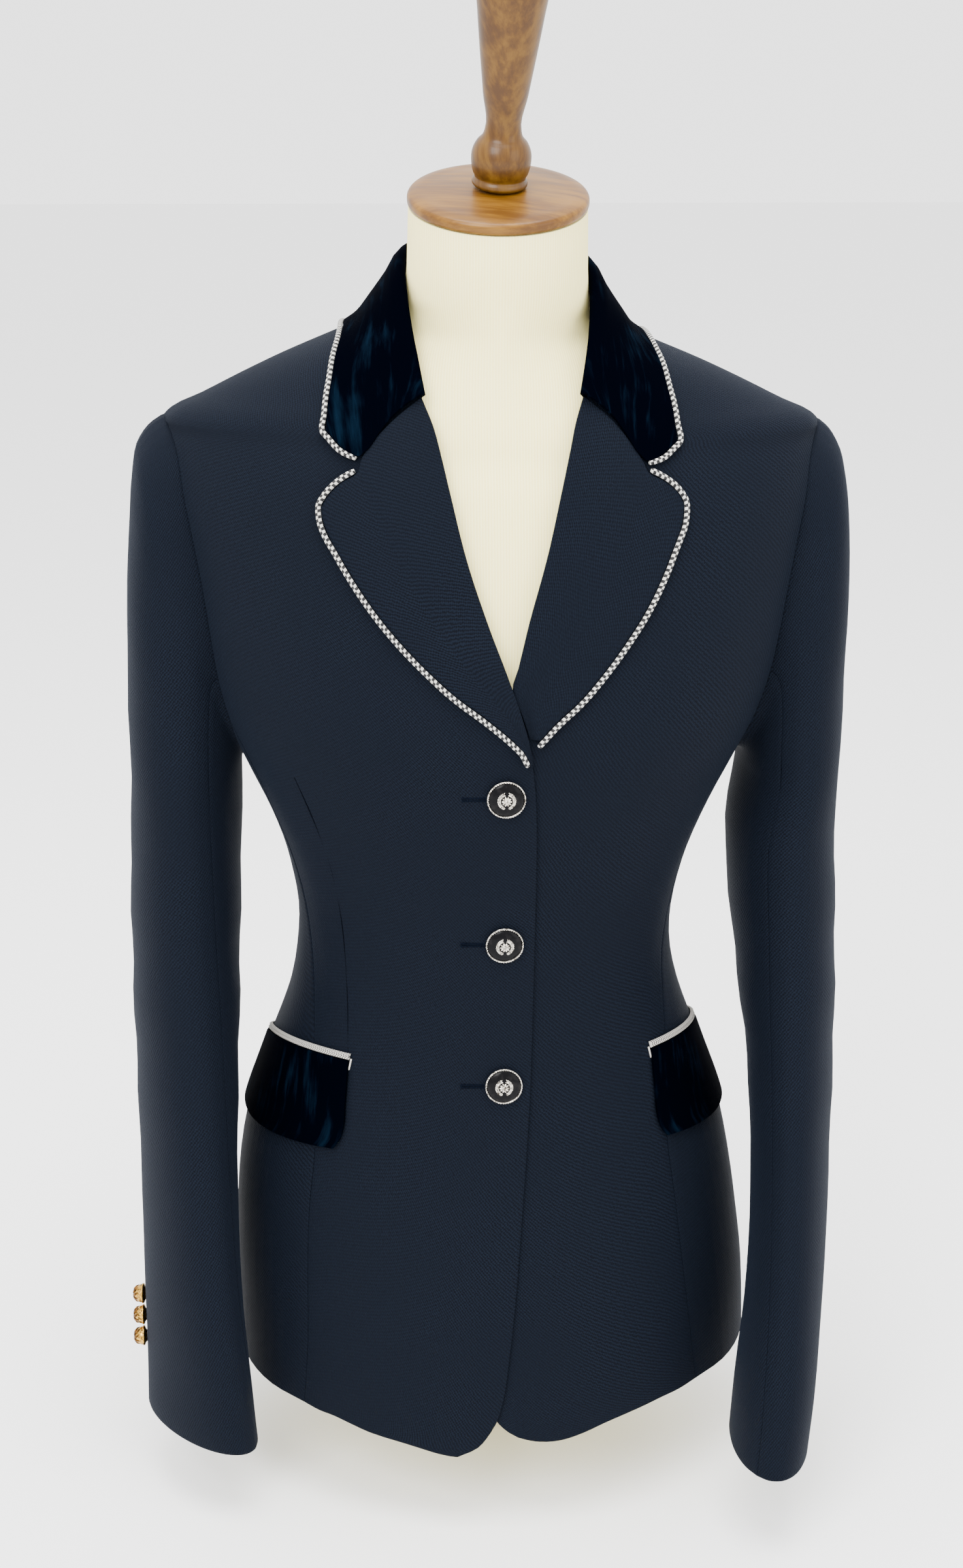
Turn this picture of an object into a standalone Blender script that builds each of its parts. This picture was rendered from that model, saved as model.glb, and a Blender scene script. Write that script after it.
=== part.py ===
# Equestrian show coat, buttoned on a limbless countertop dress form with a wooden neck cap,
# a turned finial, a short post and a round base.
#
# Metres, +Z up, origin on the base's underside, below the middle of the shoulders. The wearer's
# left is +X and the coat faces -Y. Every "rise" below is a height above the shoulder points, and
# every "turn" is an angle round the body: 0 in front, 90 degrees at the +X side, 180 behind.

import bmesh
import bpy
from math import acos, asin, copysign, cos, hypot, pi, radians, sin, tan
from mathutils import Matrix, Vector

# Driving sizes
SHOULDER_HEIGHT = 0.690
CLOTH_WALL = 0.0016
LAPEL_WALL = 0.0020
COLLAR_WALL = 0.0022
FLAP_WALL = 0.0022
SEAM_GAP = 0.0003
TOUCH_GAP = 0.0004
LAY_GAP = 0.0009
PIPING_RADIUS = 0.0019
WELT_RADIUS = 0.0010
OVERLAP_LIFT = 0.0026
TORSO_BOTTOM = -0.595
FLAP_TOP = -0.3893
FLAP_BOTTOM = -0.4465
FLAP_START = 0.094
FLAP_LENGTH = 0.128
FLAP_KICK = 0.0006
FLAP_SLANT = 1.55
FLAP_FALL = 0.06
FLAP_LEAN = 0.005
FLAP_CORNER = 0.0055
COLLAR_EASE = 0.0004
COLLAR_BULGE = -0.0008
COLLAR_TURN = 0.0017
LEFT_LAPEL_CLEAR = 0.0016
SHOULDER_DROP = 0.0055
UNDERARM_ROW = -0.178
HIP_ROW = -0.490
HIP_ACROSS = 0.171
BUTTON_RADIUS = 0.0114
BUTTON_RISES = (-0.209, -0.304, -0.398)
CUFF_BUTTON_RADIUS = 0.0066
CUFF_BUTTON_STEP = 0.0137
CUFF_BUTTON_SEAT = 0.0001
CUFF_BUTTON_SHARE = {"right": 0.85, "left": 0.80}
LOWEST_CUFF_BUTTON = {"right": -0.600, "left": -0.600}
CAP_TILT = radians(17.4)
CAP_CENTRE = Vector((0.0, -0.042, SHOULDER_HEIGHT + 0.1243))
FINIAL_TILT = radians(2.6)
NECK_TOP_RADIUS = 0.0520
NECK_TOP_GAP = 0.0009
BASE_CENTRE_Y = 0.041
BASE_RADIUS = 0.065
BASE_THICKNESS = 0.011
POST_RADIUS = 0.016

CENTIMETRE = 0.01


class Table:
    """Rows of centimetres with named columns, read smoothly against the first column."""

    def __init__(self, names, *rows, plain=()):
        self.names = names.split()
        ordered = sorted(rows)
        self.columns = {}
        for place, name in enumerate(self.names):
            unit = 1.0 if name in plain else CENTIMETRE
            self.columns[name] = [row[place] * unit for row in ordered]
        self.keys = self.columns[self.names[0]]
        self.slopes = {name: self.even_slopes(self.columns[name]) for name in self.names}

    def even_slopes(self, values):
        """Slopes for a cubic through the values that never overshoots them."""
        steps = [b - a for a, b in zip(self.keys, self.keys[1:])]
        grades = [(b - a) / step for a, b, step in zip(values, values[1:], steps)]
        slopes = [grades[0]]
        for left, right in zip(grades, grades[1:]):
            slopes.append(2 * left * right / (left + right) if left * right > 0 else 0.0)
        slopes.append(grades[-1])
        return slopes

    def read(self, name, key):
        keys, values, slopes = self.keys, self.columns[name], self.slopes[name]
        if key <= keys[0]:
            return values[0]
        if key >= keys[-1]:
            return values[-1]
        place = max(i for i in range(len(keys) - 1) if keys[i] <= key)
        step = keys[place + 1] - keys[place]
        t = (key - keys[place]) / step
        return ((2 * t ** 3 - 3 * t ** 2 + 1) * values[place]
                + (t ** 3 - 2 * t ** 2 + t) * step * slopes[place]
                + (3 * t ** 2 - 2 * t ** 3) * values[place + 1]
                + (t ** 3 - t ** 2) * step * slopes[place + 1])

    def row(self, key):
        return [self.read(name, key) for name in self.names[1:]]


# The buttoned coat's level sections: half width, front and back depths, the depth where it is
# widest, the sideways place of its middle, and the power that rounds its corners.
BODY = Table(
    "rise half front back mid middle power",
    (5.9, 7.0, -7.9, 6.2, 0.5, 0.0, 1.90),
    (5.05, 9.1, -8.1, 6.9, 0.5, 0.0, 1.85),
    (4.25, 11.2, -8.3, 7.3, 0.4, 0.0, 1.80),
    (2.6, 14.9, -8.7, 7.9, 0.3, 0.0, 1.80),
    (1.1, 18.0, -9.2, 8.3, 0.1, 0.0, 1.80),
    (0.0, 20.0, -9.5, 8.6, 0.0, 0.0, 1.85),
    (-3.0, 20.0, -10.3, 9.2, 0.0, 0.0, 2.10),
    (-8.0, 19.2, -11.3, 9.6, 0.0, 0.0, 2.30),
    (-14.0, 18.2, -12.1, 9.5, 0.0, -0.1, 2.40),
    (-18.0, 16.9, -12.5, 9.1, 0.0, -0.2, 2.40),
    (-21.5, 15.2, -12.3, 8.5, 0.0, -0.3, 2.40),
    (-26.0, 13.2, -11.7, 7.6, 0.0, -0.4, 2.35),
    (-30.0, 12.2, -11.2, 6.9, 0.0, -0.5, 2.30),
    (-33.5, 12.0, -10.9, 6.7, 0.0, -0.6, 2.30),
    (-37.0, 12.7, -10.8, 7.3, 0.1, -0.55, 2.30),
    (-41.0, 14.1, -10.9, 8.5, 0.3, -0.55, 2.30),
    (-46.0, 15.75, -11.4, 9.7, 0.3, -0.55, 2.30),
    (-52.0, 16.7, -12.3, 10.6, 0.2, -0.4, 2.30),
    (-58.0, 17.05, -13.2, 11.2, 0.1, -0.1, 2.30),
    (-64.5, 17.1, -14.2, 11.6, 0.0, 0.0, 2.30),
    plain=("power",))

# How far the dress form stays inside the coat's outer face, beyond the cloth itself.
EASE = Table(
    "rise sides ends",
    (4.0, 0.04, 0.25),
    (0.0, 0.10, 0.45),
    (-8.0, 0.30, 0.60),
    (-20.0, 0.45, 0.60),
    (-33.0, 0.45, 0.60),
    (-45.0, 0.80, 0.90),
    (-60.0, 1.60, 1.70))

# The form's own shoulders and neck, where the coat leaves them: level rings that lean forward.
NECK = Table(
    "rise half front back lean power",
    (12.0, 5.22, -9.16, 0.76, 17.4, 2.00),
    (10.6, 5.25, -9.06, 1.20, 14.0, 2.00),
    (9.0, 5.28, -8.86, 1.80, 9.0, 2.00),
    (7.8, 5.45, -8.66, 2.60, 4.5, 1.95),
    (6.9, 5.75, -8.52, 3.40, 2.0, 1.85),
    (6.1, 6.25, -8.42, 4.20, 0.5, 1.65),
    (5.4, 7.20, -8.36, 4.90, 0.0, 1.45),
    (4.6, 9.35, -8.34, 5.60, 0.0, 1.34),
    (3.6, 11.95, -8.36, 6.20, 0.0, 1.38),
    (2.4, 14.60, -8.46, 6.80, 0.0, 1.50),
    (1.1, 17.35, -8.66, 7.40, 0.0, 1.62),
    (0.0, 19.40, -8.90, 7.80, 0.0, 1.72),
    (-1.2, 19.70, -9.10, 8.10, 0.0, 1.85),
    plain=("lean", "power"))

# The armhole seen from the side, down to the row where the side panel takes over.
ARMHOLE = Table(
    "rise front back",
    (0.0, 0.0, 0.0),
    (-0.9, -2.1, 1.9),
    (-2.2, -3.2, 3.0),
    (-4.2, -4.0, 3.9),
    (-8.0, -4.7, 4.6),
    (-11.0, -5.2, 4.9),
    (-13.5, -5.4, 4.9),
    (-17.8, -4.8, 4.6))

# Its bottom, from the front seam to the side back seam.
UNDERARM = Table(
    "depth rise",
    (-4.8, -17.8),
    (-3.9, -19.5),
    (-2.2, -20.8),
    (0.0, -21.2),
    (2.0, -20.8),
    (3.7, -19.6),
    (4.6, -17.8))

# Seams down the body, as shares of the half width in front and turns in degrees behind.
FRONT_SEAM = Table(
    "rise share",
    (-17.8, 0.935),
    (-21.0, 0.955),
    (-24.0, 0.965),
    (-30.0, 0.945),
    (-34.0, 0.915),
    (-38.5, 0.845),
    (-42.0, 0.770),
    (-46.0, 0.715),
    (-54.0, 0.715),
    (-64.5, 0.755),
    plain=("share",))
BACK_SEAM = Table(
    "rise turn",
    (-17.8, 112.0),
    (-24.0, 115.0),
    (-33.5, 119.0),
    (-45.0, 122.0),
    (-64.5, 124.0),
    plain=("turn",))

# Inner edges of the fronts, as a distance across from the centre line: the neckline, the roll
# line of the lapel and the front edge. The wearer's right front laps over the left.
RIGHT_EDGE = Table(
    "rise across",
    (5.9, -7.1),
    (5.0, -7.0),
    (3.7, -6.5),
    (2.4, -5.8),
    (1.6, -5.1),
    (-0.6, -4.32),
    (-3.2, -3.62),
    (-6.9, -2.62),
    (-10.5, -1.35),
    (-14.4, 0.20),
    (-17.5, 1.25),
    (-19.4, 1.65),
    (-25.0, 1.85),
    (-33.0, 1.80),
    (-41.7, 1.60),
    (-46.0, 1.30),
    (-56.0, 0.50),
    (-61.0, -0.20),
    (-61.8, -0.38),
    (-62.6, -0.75),
    (-63.2, -1.30),
    (-63.6, -2.05),
    (-63.85, -3.05))
LEFT_EDGE = Table(
    "rise across",
    (5.9, 7.1),
    (5.0, 7.0),
    (3.7, 6.5),
    (2.4, 5.8),
    (1.6, 5.1),
    (-0.6, 4.45),
    (-3.2, 3.75),
    (-6.9, 2.75),
    (-10.5, 1.60),
    (-14.4, 0.45),
    (-17.0, -0.80),
    (-19.5, -1.70),
    (-25.0, -1.90),
    (-50.0, -1.90),
    (-57.0, -1.60),
    (-60.5, -1.15),
    (-61.7, -0.55),
    (-62.3, 0.00),
    (-62.8, 0.80))

# The hem's rise against the distance across; the fronts dip a little at their corners.
HEM = Table(
    "across right left",
    (0.8, -63.2, -62.8),
    (1.6, -63.6, -63.05),
    (2.15, -63.8, -63.15),
    (3.0, -63.92, -63.2),
    (4.0, -63.85, -63.1),
    (6.2, -63.35, -62.45),
    (8.6, -62.9, -61.9),
    (11.2, -62.3, -61.5),
    (17.1, -62.1, -61.3))

# Lapel outlines in front view: the top runs down the gorge seam, over the notch and out to the
# tip, and the edge runs from the tip down to the top button.
LAPEL_TOP = Table(
    "part across right left",
    (0, 4.60, 1.82, 1.78),
    (1, 6.30, 0.50, 0.38),
    (2, 8.06, -1.52, -1.92),
    (3, 8.30, -2.30, -2.45),
    (4, 9.20, -2.85, -2.95),
    (5, 10.0, -3.60, -3.60),
    (6, 10.42, -4.30, -4.30),
    plain=("part",))
RIGHT_LAPEL_EDGE = Table(
    "part across rise",
    (0, 10.42, -4.30),
    (1, 10.30, -5.20),
    (2, 9.50, -6.75),
    (3, 8.50, -8.45),
    (4, 7.30, -10.20),
    (5, 5.90, -11.90),
    (6, 4.45, -13.40),
    (7, 2.85, -14.85),
    (8, 1.25, -16.05),
    (9, -0.10, -17.15),
    (10, -1.05, -18.10),
    (11, -1.40, -18.80),
    plain=("part",))
LEFT_LAPEL_EDGE = Table(
    "part across rise",
    (0, 10.42, -4.30),
    (1, 10.35, -5.20),
    (2, 9.75, -6.75),
    (3, 9.15, -8.20),
    (4, 8.15, -10.15),
    (5, 6.95, -11.95),
    (6, 5.70, -13.60),
    (7, 4.35, -15.15),
    (8, 2.85, -16.50),
    (9, 1.95, -17.45),
    plain=("part",))
LAPEL_END = {"right": -0.188, "left": -0.1735}

# One half of the collar, from the end of the gorge to centre back: the stand's lower edge, the
# fold that rolls over, and the fall's outer edge.
STAND_LINE = Table(
    "part across depth rise",
    (0.0, 4.85, -8.05, 1.65),
    (1.0, 5.35, -6.95, 3.70),
    (2.0, 6.05, -5.20, 5.10),
    (3.0, 6.95, -2.40, 5.97),
    (4.0, 7.00, 0.60, 6.02),
    (5.0, 6.10, 3.45, 6.02),
    (6.0, 3.60, 5.50, 6.02),
    (7.0, 0.00, 6.05, 6.02),
    plain=("part",))
FOLD_LINE = Table(
    "part across depth rise",
    (0.0, 4.66, -8.80, 1.98),
    (1.0, 5.05, -7.60, 4.05),
    (2.0, 5.45, -5.95, 6.40),
    (3.0, 5.64, -3.45, 8.75),
    (4.0, 5.35, -0.80, 9.60),
    (5.0, 4.55, 1.80, 9.75),
    (6.0, 2.75, 3.75, 9.65),
    (7.0, 0.00, 4.45, 9.60),
    plain=("part",))
FALL_LINE = Table(
    "part across depth rise",
    (0.0, 10.05, -8.00, -0.12),
    (1.0, 9.90, -7.10, 1.80),
    (2.0, 9.45, -5.30, 3.40),
    (3.0, 8.95, -2.40, 4.80),
    (4.0, 8.80, 1.20, 5.10),
    (5.0, 7.95, 4.70, 4.50),
    (6.0, 4.80, 7.80, 3.50),
    (7.0, 0.00, 8.70, 3.00),
    plain=("part",))
# The fall's front end: along the gorge seam, then up to the collar's corner.
COLLAR_END = Table(
    "share across right left",
    (0.0, 4.66, 1.93, 1.88),
    (0.28, 6.35, 0.58, 0.46),
    (0.60, 8.12, -1.44, -1.84),
    (0.82, 9.15, -1.00, -1.55),
    (1.0, 10.05, -0.12, -0.85),
    plain=("share",))
FALL_SHARES = (0.0, 0.28, 0.60, 0.82, 1.0)
COLLAR_STATIONS = (0.0, 0.45, 0.95, 1.5, 2.1, 2.7, 3.2, 3.6, 4.0, 4.5, 5.2, 6.0, 7.0)

# Sleeves below the armhole: the middle of each section, its half lengths along and across the
# flattened tube, how far it is turned and how much its front is raised.
SLEEVE_RIGHT = Table(
    "rise across depth long short turn slope",
    (-22.5, 19.40, -0.2, 6.60, 3.50, 0.0, 0.00),
    (-31.5, 19.75, -1.0, 6.40, 3.48, 5.0, 0.02),
    (-40.5, 19.90, -2.8, 6.15, 3.20, 12.0, 0.08),
    (-48.0, 19.95, -4.6, 5.85, 2.85, 18.0, 0.14),
    (-55.0, 19.85, -6.4, 5.55, 2.60, 25.0, 0.10),
    (-61.0, 19.55, -7.7, 5.30, 2.40, 34.0, 0.03),
    (-64.3, 19.42, -8.3, 5.20, 2.30, 39.0, 0.00),
    plain=("turn", "slope"))
SLEEVE_LEFT = Table(
    "rise across depth long short turn slope",
    (-22.5, 18.88, -0.2, 6.60, 3.12, 0.0, 0.00),
    (-27.0, 18.52, -0.6, 6.55, 3.40, 1.5, 0.01),
    (-32.4, 18.80, -1.2, 6.45, 3.33, 3.0, 0.02),
    (-41.5, 19.18, -3.8, 6.35, 2.78, 9.0, 0.10),
    (-49.0, 18.92, -6.6, 6.15, 2.50, 10.0, 0.12),
    (-56.0, 18.16, -9.8, 5.70, 2.46, 8.0, 0.08),
    (-60.5, 17.36, -12.1, 5.30, 2.52, 5.0, 0.03),
    (-63.7, 16.85, -13.3, 5.00, 2.45, 4.0, 0.00),
    plain=("turn", "slope"))
# The sleeve head: how much of its spread is reached at each share of its drop.
SLEEVE_HEAD = Table(
    "drop right left",
    (0.0, 0.0, 0.0),
    (0.03, 0.33, 0.38),
    (0.08, 0.59, 0.70),
    (0.15, 0.70, 0.88),
    (0.27, 0.79, 1.00),
    (0.45, 0.90, 1.05),
    (0.70, 0.97, 1.03),
    (1.0, 1.0, 1.0),
    plain=("drop", "right", "left"))

SHOULDER_ROWS = (0.057, 0.047, 0.036, 0.024, 0.012, 0.004, 0.0)
ARMHOLE_ROWS = (-0.009, -0.022, -0.042, -0.070, -0.100, -0.128, -0.153, UNDERARM_ROW)
BODY_ROWS = (-0.207, -0.237, -0.268, -0.300, -0.334, -0.368, -0.386, -0.404, -0.446, -0.490, -0.535,
             -0.575, -0.600, -0.616, -0.6215, -0.625)
TOP_ROWS = SHOULDER_ROWS + ARMHOLE_ROWS
SLEEVE_DROPS = (-0.265, -0.315, -0.365, -0.415, -0.465, -0.515, -0.560, -0.605)


def ramp(value):
    value = max(0.0, min(1.0, value))
    return value * value * (3 - 2 * value)


def sunk(across, rise):
    """How much lower the wearer's left shoulder hangs than its level section says."""
    return SHOULDER_DROP * ramp(across / 0.070) * ramp((rise + 0.120) / 0.120)


def body_point(rise, turn):
    """A point of the coat's outer face."""
    half, front, back, mid, middle, power = BODY.row(rise)
    sine, cosine = sin(turn), cos(turn)
    depth = mid - front if cosine > 0 else back - mid
    x = middle + half * copysign(abs(sine) ** (2 / power), sine)
    y = mid - depth * copysign(abs(cosine) ** (2 / power), cosine)
    return Vector((x, y, SHOULDER_HEIGHT + rise - sunk(x, rise)))


def body_normal(rise, turn):
    """The outward direction there, taken over a few degrees and millimetres."""
    spread, reach = radians(5), 0.007
    around = body_point(rise, turn + spread) - body_point(rise, turn - spread)
    above = min(rise + reach, BODY.keys[-1])
    upward = body_point(above, turn) - body_point(above - 2 * reach, turn)
    return around.cross(upward).normalized()


def turn_at_across(rise, across):
    """The front turn at a distance from the centre line."""
    half, _, _, _, middle, power = BODY.row(rise)
    share = min(abs(across - middle) / half, 1.0)
    return copysign(asin(share ** (power / 2)), across - middle)


def turn_at_depth(rise, depth, side):
    """The turn on one side at a distance from front to back."""
    _, front, back, mid, _, power = BODY.row(rise)
    share = (mid - depth) / (mid - front if depth < mid else back - mid)
    share = max(-1.0, min(1.0, share))
    return side * acos(copysign(abs(share) ** (power / 2), share))


def even_turns(rise, first, last, count):
    """Turns that part the girth from first to last into equal lengths."""
    fine = 60
    turns = [first + (last - first) * i / fine for i in range(fine + 1)]
    points = [body_point(rise, turn) for turn in turns]
    lengths = [0.0]
    for a, b in zip(points, points[1:]):
        lengths.append(lengths[-1] + (b - a).length)
    found = []
    place = 0
    for step in range(count):
        wanted = lengths[-1] * step / (count - 1)
        while place < fine - 1 and lengths[place + 1] < wanted:
            place += 1
        share = (wanted - lengths[place]) / max(lengths[place + 1] - lengths[place], 1e-9)
        found.append(turns[place] + (turns[place + 1] - turns[place]) * share)
    return found


def overlap_lift(point):
    """How far the wearer's right front stands off the body where it laps over the left."""
    rise = point.z - SHOULDER_HEIGHT
    return OVERLAP_LIFT * ramp((point.x + 0.050) / 0.025) * ramp((-0.100 - rise) / 0.030)


def coat_site(rise, turn, side=1):
    """A point of the fronts or the back with its normal, lifted on the right front."""
    point = body_point(rise, turn)
    normal = body_normal(rise, turn)
    if side < 0 and cos(turn) > 0:
        point = point + normal * overlap_lift(point)
    return point, normal


def front_site(side, across, height):
    """The place on the fronts at a distance across and a height over the shoulder points."""
    rise = height + sunk(across, height + sunk(across, height))
    return coat_site(rise, turn_at_across(rise, across), side)


def over_coat(point):
    """A point's height above the coat's outer face, with the coat's normal under it."""
    rise = point.z - SHOULDER_HEIGHT
    rise += sunk(point.x, rise + sunk(point.x, rise))
    half, front, back, mid, middle, power = BODY.row(rise)
    wide = (point.x - middle) / half
    depth = mid - front if point.y < mid else back - mid
    deep = (mid - point.y) / depth
    scale = (abs(wide) ** power + abs(deep) ** power) ** (1 / power)
    cosine = copysign(min(abs(deep / scale), 1.0) ** (power / 2), deep)
    turn = copysign(acos(cosine), wide)
    ground, normal = coat_site(rise, turn, copysign(1, point.x))
    return (point - ground).dot(normal), normal


def clear_of_coat(point, needed):
    """Moves a point out until it is the needed distance above the coat's outer face."""
    if point.z - SHOULDER_HEIGHT > BODY.keys[-1]:
        return point
    height, normal = over_coat(point)
    return point + normal * max(needed - height, 0.0)


def shade(name, colour, roughness, metallic=0.0):
    paint = bpy.data.materials.new(name)
    paint.use_nodes = True
    shader = paint.node_tree.nodes["Principled BSDF"]
    shader.inputs["Base Color"].default_value = (*colour, 1.0)
    shader.inputs["Roughness"].default_value = roughness
    shader.inputs["Metallic"].default_value = metallic
    paint.diffuse_color = (*colour, 1.0)
    return paint


WOOL = shade("navy_wool", (0.018, 0.026, 0.045), 0.85)
VELVET = shade("navy_velvet", (0.006, 0.008, 0.014), 0.95)
PIPING = shade("check_piping", (0.42, 0.42, 0.40), 0.80)
JERSEY = shade("cream_jersey", (0.82, 0.78, 0.64), 0.90)
WOOD = shade("honey_wood", (0.36, 0.16, 0.05), 0.40)
BUTTON = shade("gilt_button", (0.45, 0.40, 0.30), 0.35, 0.9)


def make_object(name, corners, faces, paint):
    mesh = bpy.data.meshes.new(name)
    mesh.from_pydata([tuple(corner) for corner in corners], [], faces)
    shape = bmesh.new()
    shape.from_mesh(mesh)
    bmesh.ops.recalc_face_normals(shape, faces=shape.faces)
    shape.to_mesh(mesh)
    shape.free()
    mesh.materials.append(paint)
    mesh.shade_smooth()
    mesh.set_sharp_from_angle(angle=radians(50))
    thing = bpy.data.objects.new(name, mesh)
    bpy.context.collection.objects.link(thing)
    return thing


def drawn_in(sites, i, j):
    """A site's point, moved in by half the seam gap where it lies on the sheet's rim."""
    rows, columns = len(sites), len(sites[0])
    point = sites[i][j][0].copy()
    for down, over, at_rim in ((1, 0, i == 0), (-1, 0, i == rows - 1),
                               (0, 1, j == 0), (0, -1, j == columns - 1)):
        if at_rim:
            inward = sites[i + down][j + over][0] - sites[i][j][0]
            point += inward.normalized() * (SEAM_GAP / 2)
    return point


def halved(quad, corners):
    """Parts a four-cornered face along its shorter diagonal."""
    a, b, c, d = quad
    if (corners[a] - corners[c]).length <= (corners[b] - corners[d]).length:
        return [(a, b, c), (a, c, d)]
    return [(a, b, d), (b, c, d)]


def walled(name, outer, inner, paint):
    """Closes two grids of points, the outer and the inner face of one wall, into a solid."""
    rows, columns = len(outer), len(outer[0])
    corners = [point for line in outer for point in line]
    corners += [point for line in inner for point in line]
    behind = rows * columns
    faces = []
    for i in range(rows - 1):
        for j in range(columns - 1):
            first = i * columns + j
            for part in halved((first, first + columns, first + columns + 1, first + 1), corners):
                faces.append(part)
                faces.append(tuple(behind + corner for corner in reversed(part)))
    rim = [i * columns for i in range(rows)]
    rim += [(rows - 1) * columns + j for j in range(1, columns)]
    rim += [i * columns + columns - 1 for i in range(rows - 2, -1, -1)]
    rim += list(range(columns - 2, 0, -1))
    for a, b in zip(rim, rim[1:] + rim[:1]):
        faces += halved((b, a, behind + a, behind + b), corners)
    return make_object(name, corners, faces, paint)


def cloth_sheet(name, sites, wall, paint):
    """A closed cloth wall under rows of (outer point, normal)."""
    outer = [[drawn_in(sites, i, j) for j in range(len(line))] for i, line in enumerate(sites)]
    inner = [[point - site[1] * wall for point, site in zip(points, line)]
             for points, line in zip(outer, sites)]
    return walled(name, outer, inner, paint)


def grid_normals(points, closed=False):
    """Normals of a grid of points, from its neighbours; rows run down and columns run round."""
    rows, columns = len(points), len(points[0])
    normals = []
    for i in range(rows):
        line = []
        for j in range(columns):
            left = points[i][j - 1] if j or closed else points[i][0]
            right = points[i][(j + 1) % columns] if closed else points[i][min(j + 1, columns - 1)]
            down = points[min(i + 1, rows - 1)][j] - points[max(i - 1, 0)][j]
            line.append(down.cross(right - left).normalized())
        normals.append(line)
    return normals


def cord(name, sites, radius, sides, paint):
    """A round cord along (centre, up direction) sites, with flat ends."""
    centres = [site[0] for site in sites]
    corners = []
    for place, (centre, up) in enumerate(sites):
        ahead = centres[min(place + 1, len(sites) - 1)] - centres[max(place - 1, 0)]
        across = ahead.cross(up).normalized()
        lifted = across.cross(ahead).normalized()
        for side in range(sides):
            angle = 2 * pi * side / sides
            corners.append(centre + across * (radius * cos(angle)) + lifted * (radius * sin(angle)))
    faces = [tuple(reversed(range(sides)))]
    for place in range(len(sites) - 1):
        for side in range(sides):
            a = place * sides + side
            b = place * sides + (side + 1) % sides
            faces.append((a, b, b + sides, a + sides))
    faces.append(tuple(range(len(corners) - sides, len(corners))))
    return make_object(name, corners, faces, paint)


def turned(name, profile, sides, paint, place):
    """A body turned round its own Z axis from (radius, height) rows, bottom to top."""
    corners = []
    for radius, height in profile:
        for side in range(sides):
            angle = 2 * pi * side / sides
            corners.append(place @ Vector((radius * cos(angle), radius * sin(angle), height)))
    faces = [tuple(reversed(range(sides)))]
    for row in range(len(profile) - 1):
        for side in range(sides):
            a = row * sides + side
            b = row * sides + (side + 1) % sides
            faces.append((a, b, b + sides, a + sides))
    faces.append(tuple(range(len(corners) - sides, len(corners))))
    return make_object(name, corners, faces, paint)


def armhole_turn(rise, side, behind):
    depth = ARMHOLE.read("back" if behind else "front", rise)
    return turn_at_depth(rise, depth, side)


def seam_turn(rise, side):
    half, _, _, _, middle, _ = BODY.row(rise)
    return turn_at_across(rise, middle + side * half * FRONT_SEAM.read("share", rise))


def hem_rise(across, side):
    """The hem's level, across being negative past the centre line."""
    return HEM.read("right" if side < 0 else "left", across)


def hem_blend(row_rise, hem):
    """Body rows below the hips close up towards the hem's own line."""
    if row_rise >= HIP_ROW:
        return row_rise
    return HIP_ROW + (row_rise - HIP_ROW) * (hem - HIP_ROW) / (BODY_ROWS[-1] - HIP_ROW)


def side_hem(rise, side):
    """Side and back rows end on the level that the hem has at the side."""
    return hem_blend(rise, hem_rise(HIP_ACROSS, side))


def front_panel(side):
    name = "front_left" if side > 0 else "front_right"
    edge = LEFT_EDGE if side > 0 else RIGHT_EDGE
    columns = 10
    sites = []
    for row_rise in TOP_ROWS + BODY_ROWS:
        rise = side_hem(row_rise, side)
        if rise > 0.0:
            outer = side * pi / 2
        elif rise >= UNDERARM_ROW:
            outer = armhole_turn(rise, side, False)
        else:
            outer = seam_turn(rise, side)
        line = [coat_site(rise, outer, side)]
        start = edge.read("across", hem_blend(row_rise, edge.keys[0]))
        turns = even_turns(rise, outer, turn_at_across(rise, start), columns)
        turns.insert(-1, turns[-2] * 0.4 + turns[-1] * 0.6)
        for turn in turns[1:]:
            across = body_point(rise, turn).x
            low = hem_blend(row_rise, hem_rise(side * across, side))
            line.append(coat_site(low, turn_at_across(low, across), side))
        sites.append(line[::-1])
    if side < 0:
        sites = [line[::-1] for line in sites]
    return cloth_sheet(name, sites, CLOTH_WALL, WOOL)


def underarm_sites(side, columns):
    """The bottom of the armhole, evenly stepped along its length."""
    keys = UNDERARM.keys
    fine = 80
    depths = [keys[0] + (keys[-1] - keys[0]) * i / fine for i in range(fine + 1)]
    line = [(depth, UNDERARM.read("rise", depth)) for depth in depths]
    lengths = [0.0]
    for a, b in zip(line, line[1:]):
        lengths.append(lengths[-1] + hypot(b[0] - a[0], b[1] - a[1]))
    sites = []
    for step in range(columns):
        wanted = lengths[-1] * step / (columns - 1)
        place = min(range(fine + 1), key=lambda i: abs(lengths[i] - wanted))
        depth, rise = line[place]
        sites.append((rise, turn_at_depth(rise, depth, side)))
    return sites


def side_panel(side):
    name = "side_left" if side > 0 else "side_right"
    columns = 7
    top = underarm_sites(side, columns)
    rows = (UNDERARM_ROW,) + BODY_ROWS
    fade = (1.0, 0.66, 0.36, 0.12)
    sites = []
    for place, row_rise in enumerate(rows):
        line = []
        for column in range(columns):
            dip = (top[column][0] - UNDERARM_ROW) * (fade[place] if place < len(fade) else 0.0)
            rise = side_hem(row_rise + dip, side)
            share = column / (columns - 1)
            front = armhole_turn(rise, side, False) if place == 0 else seam_turn(rise, side)
            back = side * radians(BACK_SEAM.read("turn", rise))
            turn = front + (back - front) * share
            if place == 0:
                turn = top[column][1]
            line.append(coat_site(rise, turn))
        sites.append(line)
    if side < 0:
        sites = [line[::-1] for line in sites]
    return cloth_sheet(name, sites, CLOTH_WALL, WOOL)


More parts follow.
